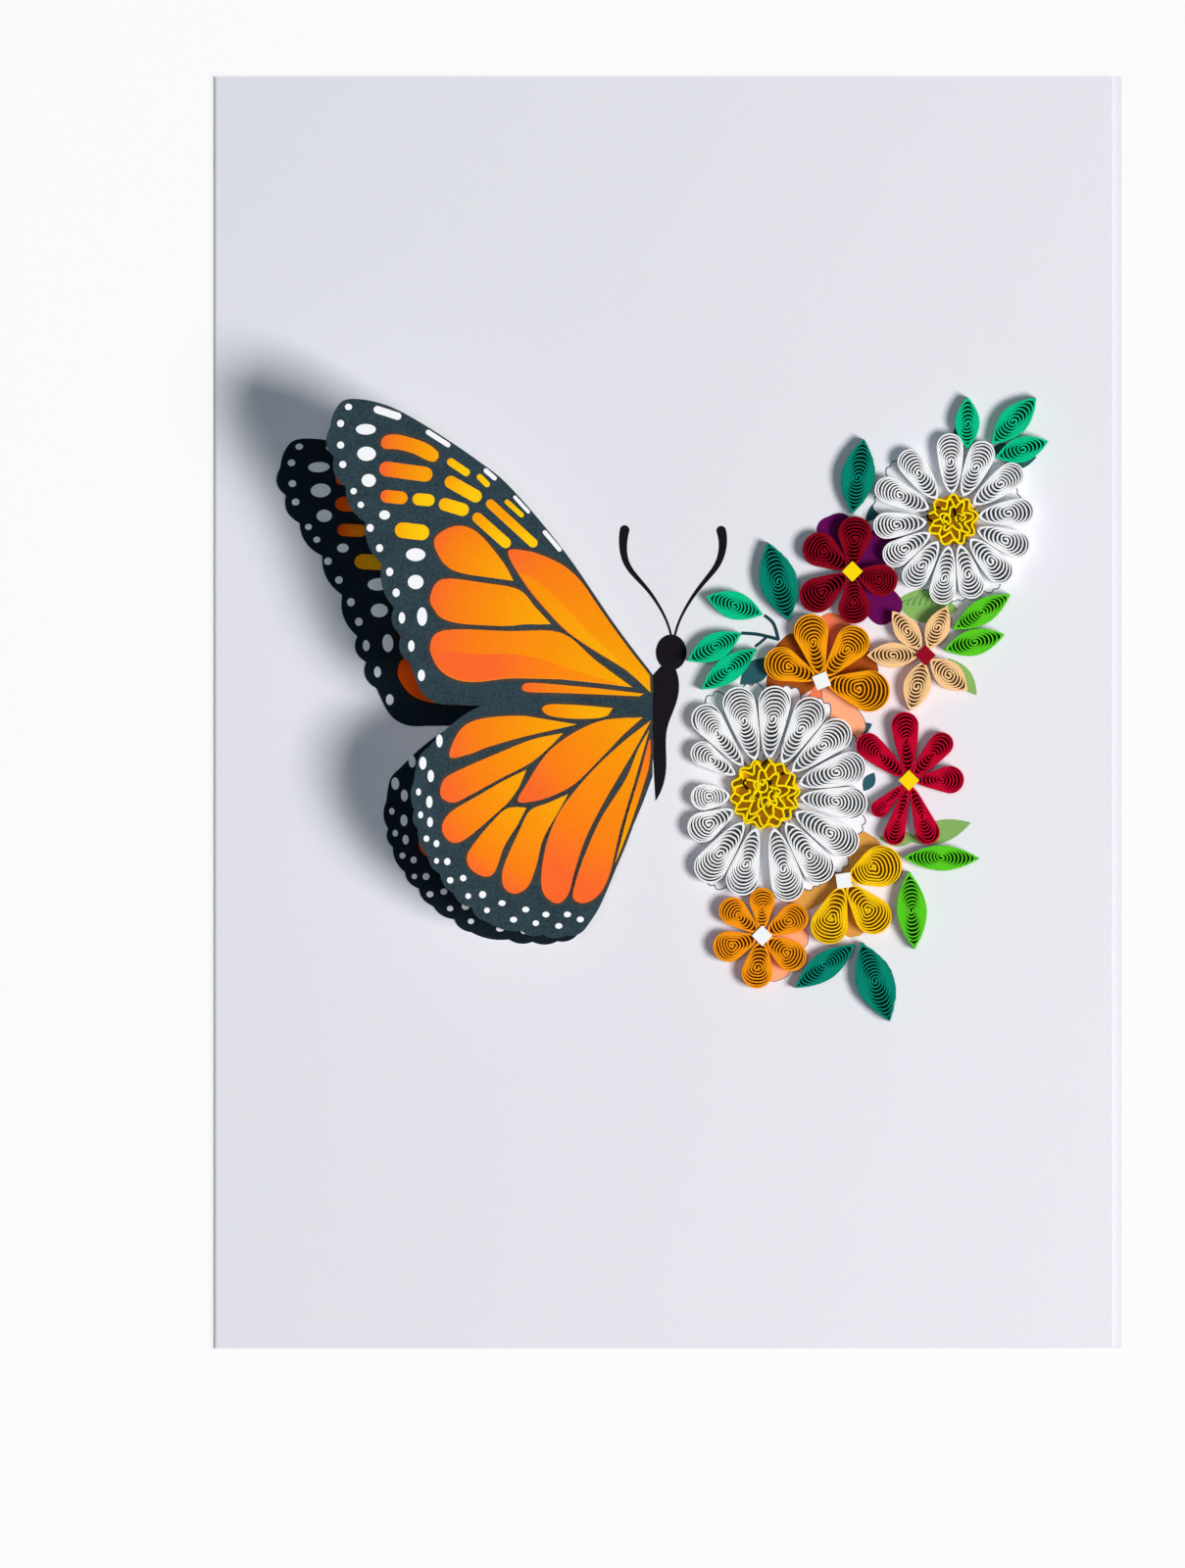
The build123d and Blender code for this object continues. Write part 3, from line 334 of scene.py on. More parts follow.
def paper(name, base, speckle, bump=0.25, roughness=0.75, edge=None, wall_shade=1.0, ramp=None):
    """A matt paper material. With an edge colour, a painted highlight, the faces that look up
    take it, and the tone attribute paints shade on the others, darkening them down to the share
    wall_shade. With a ramp the tone picks the colour."""
    material = bpy.data.materials.new(name)
    material.use_nodes = True
    tree, links = material.node_tree, material.node_tree.links
    shader = tree.nodes["Principled BSDF"]
    shader.inputs["Roughness"].default_value = roughness
    shader.inputs["Specular IOR Level"].default_value = PAPER_GLOSS
    grain = node(tree, "ShaderNodeGroup", node_tree=GRAIN)
    grain.inputs["Colour"].default_value = base
    grain.inputs["Speckle"].default_value = speckle
    grain.inputs["Bump"].default_value = bump
    # Painted light: faces that look up take the edge colour as a painted highlight, and the tone
    # paints shade on the walls
    if edge:
        facing = node(tree, "ShaderNodeNewGeometry")
        parts = node(tree, "ShaderNodeSeparateXYZ")
        links.new(facing.outputs["True Normal"], parts.inputs[0])
        depth = node(tree, "ShaderNodeAttribute", attribute_name="tone")
        wall = node(tree, "ShaderNodeMix", data_type="RGBA")
        wall.inputs["A"].default_value = base
        wall.inputs["B"].default_value = (*(wall_shade * value for value in base[:3]), 1)
        links.new(depth.outputs["Fac"], wall.inputs["Factor"])
        mix = node(tree, "ShaderNodeMix", data_type="RGBA")
        mix.inputs["B"].default_value = edge
        links.new(wall.outputs["Result"], mix.inputs["A"])
        links.new(parts.outputs["Z"], mix.inputs["Factor"])
        links.new(mix.outputs["Result"], grain.inputs["Colour"])
    if ramp:
        tone = node(tree, "ShaderNodeAttribute", attribute_name="tone")
        scale = node(tree, "ShaderNodeValToRGB")
        while len(scale.color_ramp.elements) < len(ramp):
            scale.color_ramp.elements.new(0.5)
        for element, (place, value) in zip(scale.color_ramp.elements, ramp):
            element.position = place
            element.color = value
        links.new(tone.outputs["Fac"], scale.inputs["Fac"])
        links.new(scale.outputs["Color"], grain.inputs["Colour"])
    links.new(grain.outputs["Colour"], shader.inputs["Base Color"])
    links.new(grain.outputs["Normal"], shader.inputs["Normal"])
    return material


CARD_PAPER = paper("card paper", colour(231, 230, 236), 0.035, 0.35, 0.6)
WHITE_SHEET = paper("bare sheet", colour(226, 228, 230), 0.05, 0.2)
WHITE_INK = paper("bare spots", colour(236, 236, 239), 0.05, 0.15)
BODY_INK = paper("body ink", colour(22, 17, 23), 0.5, 0.15, 0.7)
print("the card, the bare sheet, the white spots and the body have their papers")

# %% [markdown]
# Each wing is printed in a dark speckled ground, a brown line round the cells, orange and
# yellow. The lower wing lies in the raised wing's shadow, and its inks are the upper ones made
# darker as painted shade: much darker in the ground and the veins, a little in the orange and
# the yellow. The light's own shadow falls on top of that.

# %% Inks of the wings
UPPER_INKS = {
    "ground": paper("wing ground", colour(43, 60, 68), 1.7, 0.2),
    "vein": paper("vein brown", colour(62, 60, 56), 1.2, 0.2),
    "orange": paper("orange cells", colour(240, 140, 0), 0.22, 0.15, 0.7, ramp=(
        (0.0, colour(240, 166, 0)), (0.45, colour(240, 140, 0)), (0.8, colour(240, 120, 14)),
        (1.0, colour(240, 98, 38)))),
    "yellow": paper("yellow bars", colour(241, 195, 0), 0.15, 0.15, 0.7, ramp=(
        (0.0, colour(243, 198, 4)), (1.0, colour(241, 150, 0)))),
}
# The lower wing's inks: the upper inks darkened as painted shade
SHADED_LOWER_INKS = {
    "ground": paper("lower wing ground in painted shade", colour(18, 30, 38), 1.2, 0.2, 0.8),
    "vein": paper("lower vein brown in painted shade", colour(26, 28, 30), 1.0, 0.2, 0.8),
    "orange": paper("lower orange cells in painted shade", colour(246, 120, 0), 0.22, 0.15, 0.7, ramp=(
        (0.0, colour(246, 146, 0)), (1.0, colour(228, 76, 0)))),
    "yellow": paper("lower yellow bars in painted shade", colour(236, 170, 0), 0.15, 0.15, 0.7, ramp=(
        (0.0, colour(232, 172, 0)), (1.0, colour(236, 130, 0)))),
}
print(len(UPPER_INKS) + len(SHADED_LOWER_INKS), "inks for the wings")

# %% [markdown]
# A coil in one plain colour would look like a solid block. In real ones the cut edge catches
# the light and the walls darken towards the card, so each strip paints both: a paler colour on
# its edge as a painted highlight, and a share for how dark the painted shade on its walls
# gets. The little squares in the flowers' middles are plain card.

# %% Strips and squares
# Each strip's name, its colour, its cut edge's paler colour (a painted highlight), its speckle
# and how dark the painted shade on its walls gets
STRIP_PAPERS = {
    "white": ("white strip", (240, 241, 242), (244, 244, 245), 0.04, 0.5),
    "eye": ("yellow eye strip", (252, 200, 0), (254, 220, 0), 0.08, 0.8),
    "crimson": ("crimson strip", (120, 0, 20), (138, 0, 26), 0.15, 0.5),
    "orange": ("orange strip", (240, 134, 0), (252, 160, 8), 0.1, 0.4),
    "peach": ("peach strip", (242, 172, 104), (253, 203, 145), 0.08, 0.55),
    "red": ("red strip", (172, 0, 32), (194, 0, 44), 0.12, 0.35),
    "yellow": ("golden strip", (252, 178, 0), (255, 200, 12), 0.08, 0.75),
    "small_orange": ("deep orange strip", (236, 122, 0), (250, 150, 14), 0.1, 0.4),
    "mint": ("mint strip", (0, 168, 112), (4, 196, 138), 0.12, 0.4),
    "teal": ("teal strip", (0, 108, 90), (0, 134, 112), 0.15, 0.2),
    "lime": ("lime strip", (50, 158, 8), (88, 204, 32), 0.1, 0.3),
}
STRIPS = {kind: paper(name, colour(*base), speckle, 0.2, edge=colour(*edge), wall_shade=wall_shade)
          for kind, (name, base, edge, speckle, wall_shade) in STRIP_PAPERS.items()}
SQUARES = {
    "crimson": paper("yellow square", colour(255, 218, 6), 0.05),
    "red": paper("yellow square two", colour(255, 214, 8), 0.05),
    "peach": paper("maroon square", colour(150, 4, 30), 0.1),
    "orange": paper("white square", colour(244, 244, 245), 0.04),
}
SQUARES["yellow"] = SQUARES["small_orange"] = SQUARES["orange"]
print(len(bpy.data.materials), "materials")


# %% [markdown]
# The butterfly is all thin paper. A modifier could bend a flat grid and cut it, but a cut
# edge would then be ragged. So shapes are drawn flat as outlines and filled with small
# triangles that keep the outline exactly, and the raised wing's points are then set on its
# curve.

# %% Curves
def smooth(points, steps=6, closed=False):
    """Points along a smooth curve (a Catmull-Rom spline) through the given ones."""
    count = len(points)

    def at(k):
        return points[k % count] if closed else points[min(max(k, 0), count - 1)]

    made = []
    for i in range(count if closed else count - 1):
        near = at(i - 1), at(i), at(i + 1), at(i + 2)
        for s in range(steps):
            t = s / steps
            made.append(tuple(
                b + 0.5 * t * (c - a + t * (2 * a - 5 * b + 4 * c - d
                                            + t * (3 * b - a - 3 * c + d)))
                for a, b, c, d in zip(*near)))
    if not closed:
        made.append(tuple(points[-1]))
    return made


def scalloped(notches, depth, steps=7):
    """Points along arcs that bulge to the left of the way from notch to notch."""
    made = []
    for (x0, y0), (x1, y1) in zip(notches, notches[1:]):
        length = math.hypot(x1 - x0, y1 - y0)
        bulge = min(depth, length / 4)
        for s in range(steps):
            t = s / steps
            out = 4 * bulge * t * (1 - t) / length
            made.append((x0 + (x1 - x0) * t + out * (y1 - y0),
                         y0 + (y1 - y0) * t - out * (x1 - x0)))
    return made


def across(line, i, closed=False):
    """The unit vector across a line at one of its points."""
    count = len(line)
    before = line[i - 1] if closed else line[max(i - 1, 0)]
    after = line[(i + 1) % count] if closed else line[min(i + 1, count - 1)]
    dx, dy = after[0] - before[0], after[1] - before[1]
    size = math.hypot(dx, dy) or 1
    return -dy / size, dx / size


def turned(points, origin, turn):
    """Points turned by an angle and set on an origin."""
    c, s = math.cos(turn), math.sin(turn)
    return [(origin[0] + x * c - y * s, origin[1] + x * s + y * c) for x, y in points]


def bar(start, end, width, steps=8):
    """A bar with round ends."""
    turn = math.atan2(end[1] - start[1], end[0] - start[0])
    made = []
    for centre, first in ((end, -math.pi / 2), (start, math.pi / 2)):
        for s in range(steps + 1):
            a = turn + first + math.pi * s / steps
            made.append((centre[0] + width / 2 * math.cos(a), centre[1] + width / 2 * math.sin(a)))
    return made


def oval(x, y, half_width, half_height, steps=18):
    """An oval's outline."""
    angles = [TAU * s / steps for s in range(steps)]
    return [(x + half_width * math.cos(a), y + half_height * math.sin(a)) for a in angles]


print("a bar's outline has", len(bar((0, 0), (5, 0), 1)), "points")

# %% [markdown]
# To fill an outline, rows of points are laid inside it and all of them are joined by a
# Delaunay triangulation. A single many-sided face would do for a flat shape, but it can't be
# bent onto the raised wing.

# %% Filled outlines
FILL_SPACING = 1.1
# The triangulation's output type, and how close two points may lie before they are one
TRIANGLES_INSIDE, SAME_POINT = 1, 1e-4


def inside(point, loop):
    """Whether a line from the point to the right crosses the outline an odd number of times."""
    x, y = point
    odd = False
    for (x0, y0), (x1, y1) in zip(loop, loop[1:] + loop[:1]):
        if (y0 > y) != (y1 > y) and x < x0 + (y - y0) / (y1 - y0) * (x1 - x0):
            odd = not odd
    return odd


def fill(loop, spacing):
    """Triangles that fill an outline, with rows of points inside it."""
    xs, ys = [p[0] for p in loop], [p[1] for p in loop]
    inner = []
    for i in range(1, int((max(xs) - min(xs)) / spacing) + 1):
        for j in range(1, int((max(ys) - min(ys)) / spacing) + 1):
            point = (min(xs) + spacing * (i - 0.5), min(ys) + spacing * (j - 0.5))
            if inside(point, loop):
                inner.append(point)
    done = delaunay_2d_cdt([Vector(p) for p in list(loop) + inner], [], [list(range(len(loop)))],
                           TRIANGLES_INSIDE, SAME_POINT)
    points = [tuple(v) for v in done[0]]
    faces = []
    for a, b, c in done[2]:
        area = ((points[b][0] - points[a][0]) * (points[c][1] - points[a][1])
                - (points[c][0] - points[a][0]) * (points[b][1] - points[a][1]))
        faces.append((a, b, c) if area > 0 else (a, c, b))
    return points, faces


print("a filled bar has", len(fill(bar((0, 0), (5, 0), 3), FILL_SPACING)[1]), "triangles")

# %% [markdown]
# A piece is gathered from many small shapes and becomes one mesh at the end. One object for
# each turn or spot would do too, but one mesh for each real piece keeps the scene light, and
# it can take the place of the CAD node it stands for.


# %% One piece
class Drawing:
    """Vertices and faces gathered for one piece, with a tone for every vertex."""

    def __init__(self):
        self.points, self.faces, self.tones, self.kinds = [], [], [], []

    def add(self, points, faces, tones=None, kind=0):
        """Takes in some faces, whose kind is the place of their material in the list."""
        start = len(self.points)
        self.points += points
        self.tones += tones or [0.5] * len(points)
        self.faces += [tuple(start + i for i in face) for face in faces]
        self.kinds += [kind] * len(faces)

    def flat(self, loop, place, lift=0.0, tone=None, spacing=FILL_SPACING):
        """A filled outline, each of its points set by the given function."""
        points, faces = fill(loop, spacing)
        self.add([place(x, y, lift) for x, y in points], faces,
                 [tone(x, y) for x, y in points] if tone else None)

    def ribbon(self, loop, width, place, lift):
        """A band that runs along an outline, outwards from it."""
        count = len(loop)
        doubled_area = sum(x0 * y1 - x1 * y0
                           for (x0, y0), (x1, y1) in zip(loop, loop[1:] + loop[:1]))
        side = 1 if doubled_area > 0 else -1
        points = []
        for i, (x, y) in enumerate(loop):
            nx, ny = across(loop, i, closed=True)
            points += [place(x, y, lift),
                       place(x - side * width * nx, y - side * width * ny, lift)]
        faces = []
        for i in range(count):
            j = (i + 1) % count
            face = (2 * i, 2 * i + 1, 2 * j + 1, 2 * j)
            faces.append(face if side > 0 else face[::-1])
        self.add(points, faces)

    def piece(self, name, materials, slot, *replaced):
        """The finished mesh, which hides the CAD nodes that it stands for."""
        mesh = bpy.data.meshes.new(name)
        mesh.from_pydata([(x * MM, y * MM, z * MM) for x, y, z in self.points], [], self.faces)
        tone = mesh.attributes.new("tone", "FLOAT", "POINT")
        tone.data.foreach_set("value", self.tones)
        for material in materials:
            mesh.materials.append(material)
        mesh.polygons.foreach_set("material_index", self.kinds)
        mesh.update()
        made = bpy.data.objects.new(name, mesh)
        scene.collection.objects.link(made)
        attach(made, "root")
        if replaced:
            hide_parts(*replaced)


# %% [markdown]
# The raised wing is a strip of a cylinder that rises from the hinge to the tip. Its radius
# and centre come from the wing's reach, its rise and how far it bows above the straight line
# between them, as in the CAD model. A bend modifier could curve a flat wing, but with one
# formula the sheet and all of its print lie on exactly the same curve. The lower wing is the
# same cut, turned and shifted.

# %% Where things lie
def card_height(above):
    """Places points flat, this far over the card's face."""
    return lambda x, y, lift: (x, y, CARD_FACE + above + lift)


CHORD = math.hypot(WING_REACH, WING_RISE)
CURVE = (CHORD * CHORD / 4 + WING_BOW * WING_BOW) / (2 * WING_BOW)
SLOPE = math.atan2(WING_RISE, WING_REACH)
CURVE_OUT = WING_REACH / 2 + (CURVE - WING_BOW) * math.sin(SLOPE)
CURVE_UP = WING_RISE / 2 - (CURVE - WING_BOW) * math.cos(SLOPE)


def on_upper(x, y, lift):
    """A point of the wing's plan on the raised sheet, this far above its underside."""
    up = math.sqrt((CURVE + lift) ** 2 - (x + CURVE_OUT) ** 2)
    return (HINGE_X + x, HINGE_Y + y, WING_SEAT + CURVE_UP + up)


def on_lower(x, y, lift):
    """The same point on the lower wing, which is turned, shifted and flat."""
    x, y = x * LOWER_STRETCH_X, y * LOWER_STRETCH_Y
    along = x * math.cos(LOWER_TURN) - y * math.sin(LOWER_TURN) + LOWER_SHIFT[0]
    up = x * math.sin(LOWER_TURN) + y * math.cos(LOWER_TURN) + LOWER_SHIFT[1]
    return (HINGE_X + along, HINGE_Y + up, CARD_FACE + lift)


print("the raised wing's curve has a radius of", round(CURVE), "mm")

# %% [markdown]
# Both wings are cut to one outline. The sheet is white paper, printed on top, so its cut
# edges and its underside are pale. The print could be one picture on the sheet, but small
# filled shapes a hair above it stay sharp at any distance. A tone value at each of their
# points turns the orange redder towards the wing's edge.

# %% Wings
OUTLINE = (smooth(LEADING_EDGE)[:-1] + scalloped(FOREWING_NOTCHES, FOREWING_SCALLOP)
           + smooth(WAIST)[:-1] + smooth(HINDWING_SHOULDER)[:-1]
           + scalloped(HINDWING_NOTCHES, HINDWING_SCALLOP) + smooth(INNER_EDGE))
CELL_LOOPS = [smooth(cell, 5)[:-1] + [cell[-1]] for cell in WING_CELLS]
SHEET_SPACING = 1.2
VEIN_WIDTH, VEIN_LIFT, PRINT_LIFT, STREAK_LIFT = 0.42, 0.010, 0.030, 0.042
# The tone at a cell's sharp corner, and how much redder its far end is
CORNER_TONE, TONE_RANGE = 0.04, 0.96
ORANGE_BAR_SHIFT, YELLOW_BAR_FADE = 0.1, 0.2


def wing_sheet(place, name, inks):
    """The sheet's printed top, its white underside and its cut edge."""
    points, faces = fill(OUTLINE, SHEET_SPACING)
    count = len(points)
    drawing = Drawing()
    drawing.add([place(x, y, WING_SHEET) for x, y in points], faces)
    edges = dict.fromkeys(edge for a, b, c in faces for edge in ((a, b), (b, c), (c, a)))
    border = [(a, b) for a, b in edges if (b, a) not in edges]
    drawing.add([place(x, y, 0) for x, y in points], [face[::-1] for face in faces], kind=1)
    drawing.faces += [(b, a, a + count, b + count) for a, b in border]
    drawing.kinds += [1] * len(border)
    drawing.piece(name, [inks["ground"], WHITE_SHEET], "wing_paper", name)


def cell_tone(start, loop, shift):
    """How red a cell is: most at the end away from its sharp corner."""
    far = max(math.dist(start, p) for p in loop)

    def tone(x, y):
        return min(1.0, max(0.0, CORNER_TONE + TONE_RANGE * math.dist(start, (x, y)) / far + shift))

    return tone


def wing_print(place, which, inks):
    """All the print on one wing, as one piece for each ink."""
    halo, orange, yellow, white = Drawing(), Drawing(), Drawing(), Drawing()
    printed = WING_SHEET + PRINT_LIFT
    for number, loop in enumerate(CELL_LOOPS):
        shift = CELL_SHIFTS.get(number, 0.0)
        halo.ribbon(loop, VEIN_WIDTH, place, WING_SHEET + VEIN_LIFT)
        orange.flat(loop, place, printed, cell_tone(loop[0], loop, shift))
    for cell, shift, points in STREAKS:
        orange.flat(smooth(points, 4, True), place, WING_SHEET + STREAK_LIFT,
                    cell_tone(CELL_LOOPS[cell][0], CELL_LOOPS[cell], shift))
    for start, end, width in ORANGE_BARS:
        loop = bar(start, end, width)
        orange.flat(loop, place, printed, cell_tone(end, loop, ORANGE_BAR_SHIFT))
    for start, end, width in YELLOW_BARS:
        loop = bar(start, end, width)
        yellow.flat(loop, place, printed,
                    lambda x, y, e=end: min(1, YELLOW_BAR_FADE * math.dist((x, y), e)))
    for start, end, width in WHITE_BARS:
        white.flat(bar(start, end, width), place, printed)
    for spot in WHITE_SPOTS:
        white.flat(oval(*spot), place, printed)
    halo.piece(which + "_veins", [inks["vein"]], "wing_paper")
    yellow_nodes = ["upper_wing_yellow"] if which == "upper_wing" else []
    orange.piece(which + "_orange_cells", [inks["orange"]], "orange_ink", which + "_orange")
    yellow.piece(which + "_yellow_bars", [inks["yellow"]], "yellow_ink", *yellow_nodes)
    white.piece(which + "_white_spots", [WHITE_INK], "white_ink", which + "_white")


for which, place, inks in (("lower_wing", on_lower, SHADED_LOWER_INKS),
                           ("upper_wing", on_upper, UPPER_INKS)):
    wing_sheet(place, which, inks)
    wing_print(place, which, inks)
print("wing outline", len(OUTLINE), "points")

# %% [markdown]
# A petal is a coil that is pinched once, into a teardrop. A leaf is pinched twice, into a
# pointed oval. Both outlines lie along +X with the point at the origin, so that one way of
# turning and placing serves every coil.


# %% Petal and leaf outlines
LEAF_SHOULDER = 0.08
# Lines closer to parallel than this don't meet, crossings may miss by this much, and no
# outline is met at a slant with a smaller sine
PARALLEL, MISS, LEAST_SLANT = 1e-12, 1e-6, 0.12


def teardrop(length, width, ease, steps=14):
    """A petal's outline: a point at the origin, arched flanks and a round end. Ease flattens
    the flanks, and they are a little fuller near the point."""
    half = width / 2
    eye = length - half
    radius = ease * (eye ** 2 + half ** 2) / (2 * half)
    arch_x = (eye ** 2 + 2 * radius * half - half ** 2) / (2 * eye)
    arch_y = -math.sqrt(radius ** 2 - arch_x ** 2)
    first, last = math.atan2(-arch_y, -arch_x), math.atan2(-arch_y, eye - arch_x)
    upper = []
    for s in range(steps + 1):
        a = first + (last - first) * s / steps
        x = max(0.0, arch_x + radius * math.cos(a))
        t = min(1.0, x / eye)
        fuller = PETAL_FULLNESS * half * math.sqrt(t) * (1 - t) ** 3
        upper.append((x, arch_y + radius * math.sin(a) + fuller))
    for s in range(1, steps + 1):
        a = last * (1 - s / steps)
        upper.append((eye + half * math.cos(a), half * math.sin(a)))
    upper[0] = (0.0, 0.0)
    return upper + [(x, -y) for x, y in reversed(upper[1:-1])]


def marquise(length, width, steps=20):
    """A leaf's outline: two arcs, a little fuller in the middle."""
    upper, lower = [], []
    for s in range(steps + 1):
        t = s / steps
        rise = 4 * t * (1 - t) * width / 2
        rise *= 1 + LEAF_SHOULDER * (1 - abs(2 * t - 1))
        upper.append((length * t, rise))
        lower.append((length * t, -rise))
    return upper + lower[-2:0:-1]


def reach_to(outline, eye, angle):
    """How far the outline is from the eye in one direction, and the sine of the angle at which
    it is met."""
    dx, dy = math.cos(angle), math.sin(angle)
    best, slant = 0.0, 1.0
    for (x0, y0), (x1, y1) in zip(outline, outline[1:] + outline[:1]):
        ex, ey = x1 - x0, y1 - y0
        cross = dx * ey - dy * ex
        if abs(cross) < PARALLEL:
            continue
        along = ((x0 - eye[0]) * ey - (y0 - eye[1]) * ex) / cross
        where = ((x0 - eye[0]) * dy - (y0 - eye[1]) * dx) / cross
        if along > best and -MISS <= where <= 1 + MISS:
            best, slant = along, max(LEAST_SLANT, abs(cross) / math.hypot(ex, ey))
    return best, slant


print("a petal's outline has", len(teardrop(10, 4, 1)), "points, and a leaf's",
      len(marquise(10, 4)))

# %% [markdown]
# A quilled coil is one strip rolled up, let loose and pinched. A plain spiral squeezed into
# the outline would space its turns evenly, which real ones don't: they press together at the
# flanks, and crescent gaps open between them along the axis. So each turn follows the pinched
# outline at the flanks, a strip's thickness further in than the last, and is a blunt oval
# about the coil's eye at its two ends. The outermost turns press together at the point and
# the round end, so the first one is drawn thicker there.

# %% One coil
# The points in one turn, the fewest turns, and the turns for each millimetre of length
SAMPLES, LEAST_TURNS, TURNS_PER_MM = 56, 7, 0.92
EYE_RADIUS, EYE_WANDER, LEAST_FLANK = 0.28, 0.02, 0.02
# The blunt ends: their squareness, the share of the axis left free at the point and, as a
# part of that, at the round end, and how the turns close in towards the eye
SQUARENESS, TIP_GAP, ROUND_GAP, CLOSING = 2.2, 0.10, 0.3, 1.1
# How sharply a turn changes from the flank to the blunt end
JOIN = 12
# The strip's thickness at the ends and, pressed, at the flanks
END_WALL, THINNEST, THICKEST = 0.20, 0.10, 0.25
# What thickens the first turn at the point and at the round end, and the last one at the eye
TIP_FILL, TIP_REACH, RIM_FILL, HEART_FILL = 0.32, 2.4, 0.14, 0.12
# The turns' heights wander a little, start a hair lower and rise towards the eye
HEIGHT_WANDER, LIP_DROP, HEART_RISE = 0.04, 0.05, 0.12
# The turns waver a little: the share, and the samples in one step of the noise
WAVER, WAVER_STEP = 0.015, 7.0


def rolled(outline, seed, turns=None, eye_share=0.5, eye_side=0.0, bulge=1.25, lean=0.5,
           packing=1.6, fray=0.0):
    """A strip rolled up in an outline: its points, and its height, thickness and foot at each.

    Without a number of turns, a longer outline has more. Eye_share and eye_side place the eye
    along and across the outline. Bulge makes the blunt ends broader, most of all in the outer
    turns. Lean is the share of a gap that the turn's foot fills, so light catches its slope.
    Packing is how tightly the outer turns lie together at the flanks, and fray roughens the
    outermost turn."""
    rng = random.Random(seed)
    length = max(x for x, y in outline)
    turns = turns or max(LEAST_TURNS, round(TURNS_PER_MM * length))
    eye = (length * (eye_share + rng.uniform(-EYE_WANDER, EYE_WANDER)), eye_side)
    ahead, left, behind, right = (reach_to(outline, eye, quarter * math.pi / 2)[0]
                                  for quarter in (0, 1, 2, -1))
    side = min(left, right)
    spokes = []
    for i in range(SAMPLES):
        theta = math.pi + TAU * i / SAMPLES
        along = ahead if math.cos(theta) > 0 else behind
        angle = math.atan2(math.sin(theta) * side, math.cos(theta) * along)
        spokes.append((angle, *reach_to(outline, eye, angle)))
    line, heights, walls, feet = [], [], [], []
    wander = [rng.uniform(-HEIGHT_WANDER, HEIGHT_WANDER) for _ in range(turns + 2)]
    phase = rng.uniform(0, 100)

    def inset(k, room):
        """How far inside the outline's flank a turn lies."""
        return (room - EYE_RADIUS) * min(1.0, k / (turns - 1)) ** packing

    for i in range(turns * SAMPLES + 1):
        angle, whole, slant = spokes[i % SAMPLES]
        k = max(0.0, i / SAMPLES - 1)
        share = k / (turns - 1)
        room = left if math.sin(angle) > 0 else right
        flank = max(LEAST_FLANK, whole - inset(k, room) / slant)
        pitch = inset(min(k, turns - 2) + 1, room) - inset(min(k, turns - 2), room)
        pointed_end = math.cos(angle) < 0
        along = behind if pointed_end else ahead
        end = EYE_RADIUS + (along - EYE_RADIUS) * (1 - share) ** CLOSING
        end *= 1 - TIP_GAP * min(1.0, k) * (1.0 if pointed_end else ROUND_GAP)
        wide = (room - inset(k, room)) * (1 + (bulge - 1) * (1 - share))
        oval_sum = ((abs(math.cos(angle)) / end) ** SQUARENESS
                    + (abs(math.sin(angle)) / wide) ** SQUARENESS)
        blunt = oval_sum ** (-1 / SQUARENESS)
        r, packed = whole, 1.0
        if k > 0:
            near, far = flank ** -JOIN, blunt ** -JOIN
            r = min(whole, (near + far) ** (-1 / JOIN))
            packed = near / (near + far)
        r *= 1 + WAVER * noise.noise((i / WAVER_STEP, phase, k)) * min(1.0, k)
        if fray and k == 0:
            r += rng.uniform(0, fray)
        x, y = eye[0] + r * math.cos(angle), eye[1] + r * math.sin(angle)
        line.append((x, y))
        which, part = divmod(i / SAMPLES, 1)
        jitter = wander[int(which)] * (1 - part) + wander[int(which) + 1] * part
        heights.append(STRIP_HEIGHT - LIP_DROP + jitter + HEART_RISE * share)
        wall = packed * min(max(pitch, THINNEST), THICKEST) + (1 - packed) * END_WALL
        wall += HEART_FILL * max(0.0, k - turns + 2)
        if k == 0:
            wall += max(0.0, TIP_FILL * (1 - math.hypot(x, y) / TIP_REACH))
            wall += RIM_FILL * max(0.0, math.cos(angle)) ** 2
        walls.append(wall)
        gap = along / turns - END_WALL
        feet.append(wall + (1 - packed) * lean * max(0.0, gap) * abs(math.cos(angle)))
    return line, heights, walls, feet


def strip_faces(count):
    """The faces along a strip that has four points at each of this many places."""
    faces = []
    for a in range(0, 4 * (count - 1), 4):
        b = a + 4
        faces += [(a + side, b + side, b + side + 1, a + side + 1) for side in range(3)]
    return faces


def coil(drawing, outline, origin, turn, **looks):
    """One rolled strip on the card, with its outline's point on the origin. Its tones are painted
    shade by how deep each point lies: the outermost wall isn't darkened, because light reaches
    its foot."""
    line, heights, walls, feet = rolled(outline, **looks)
    points, shade_tones = [], []
    for i, (x, y) in enumerate(line):
        # Painted shade: none on the first turn's outer wall, half at the tops of the other walls,
        # full at their feet
        shade_tones += [0.0, 0.0, 0.5, 1.0] if i < SAMPLES else [1.0, 0.5, 0.5, 1.0]
        nx, ny = across(line, i)
        top = COIL_SEAT + heights[i]
        section = [(x + nx * out, y + ny * out) for out in (0.0, walls[i], feet[i])]
        outer, inner, foot = turned(section, origin, turn)
        points += [(*outer, COIL_SEAT), (*outer, top), (*inner, top), (*foot, COIL_SEAT)]
    last = len(points) - 4
    ends = [(0, 1, 2, 3), (last + 3, last + 2, last + 1, last)]
    drawing.add(points, strip_faces(len(line)) + ends, shade_tones)


one_coil = Drawing()
coil(one_coil, teardrop(10, 4, 1), (0, 0), 0, seed=1)
print("one coil has", len(one_coil.faces), "faces")

# %% [markdown]
# Petals glued round a middle crowd each other. They could be cut off where they meet, but
# paper doesn't cut itself: each petal is made as full as its neighbours let it be, and stays
# a small clearance off the line halfway to the next one.


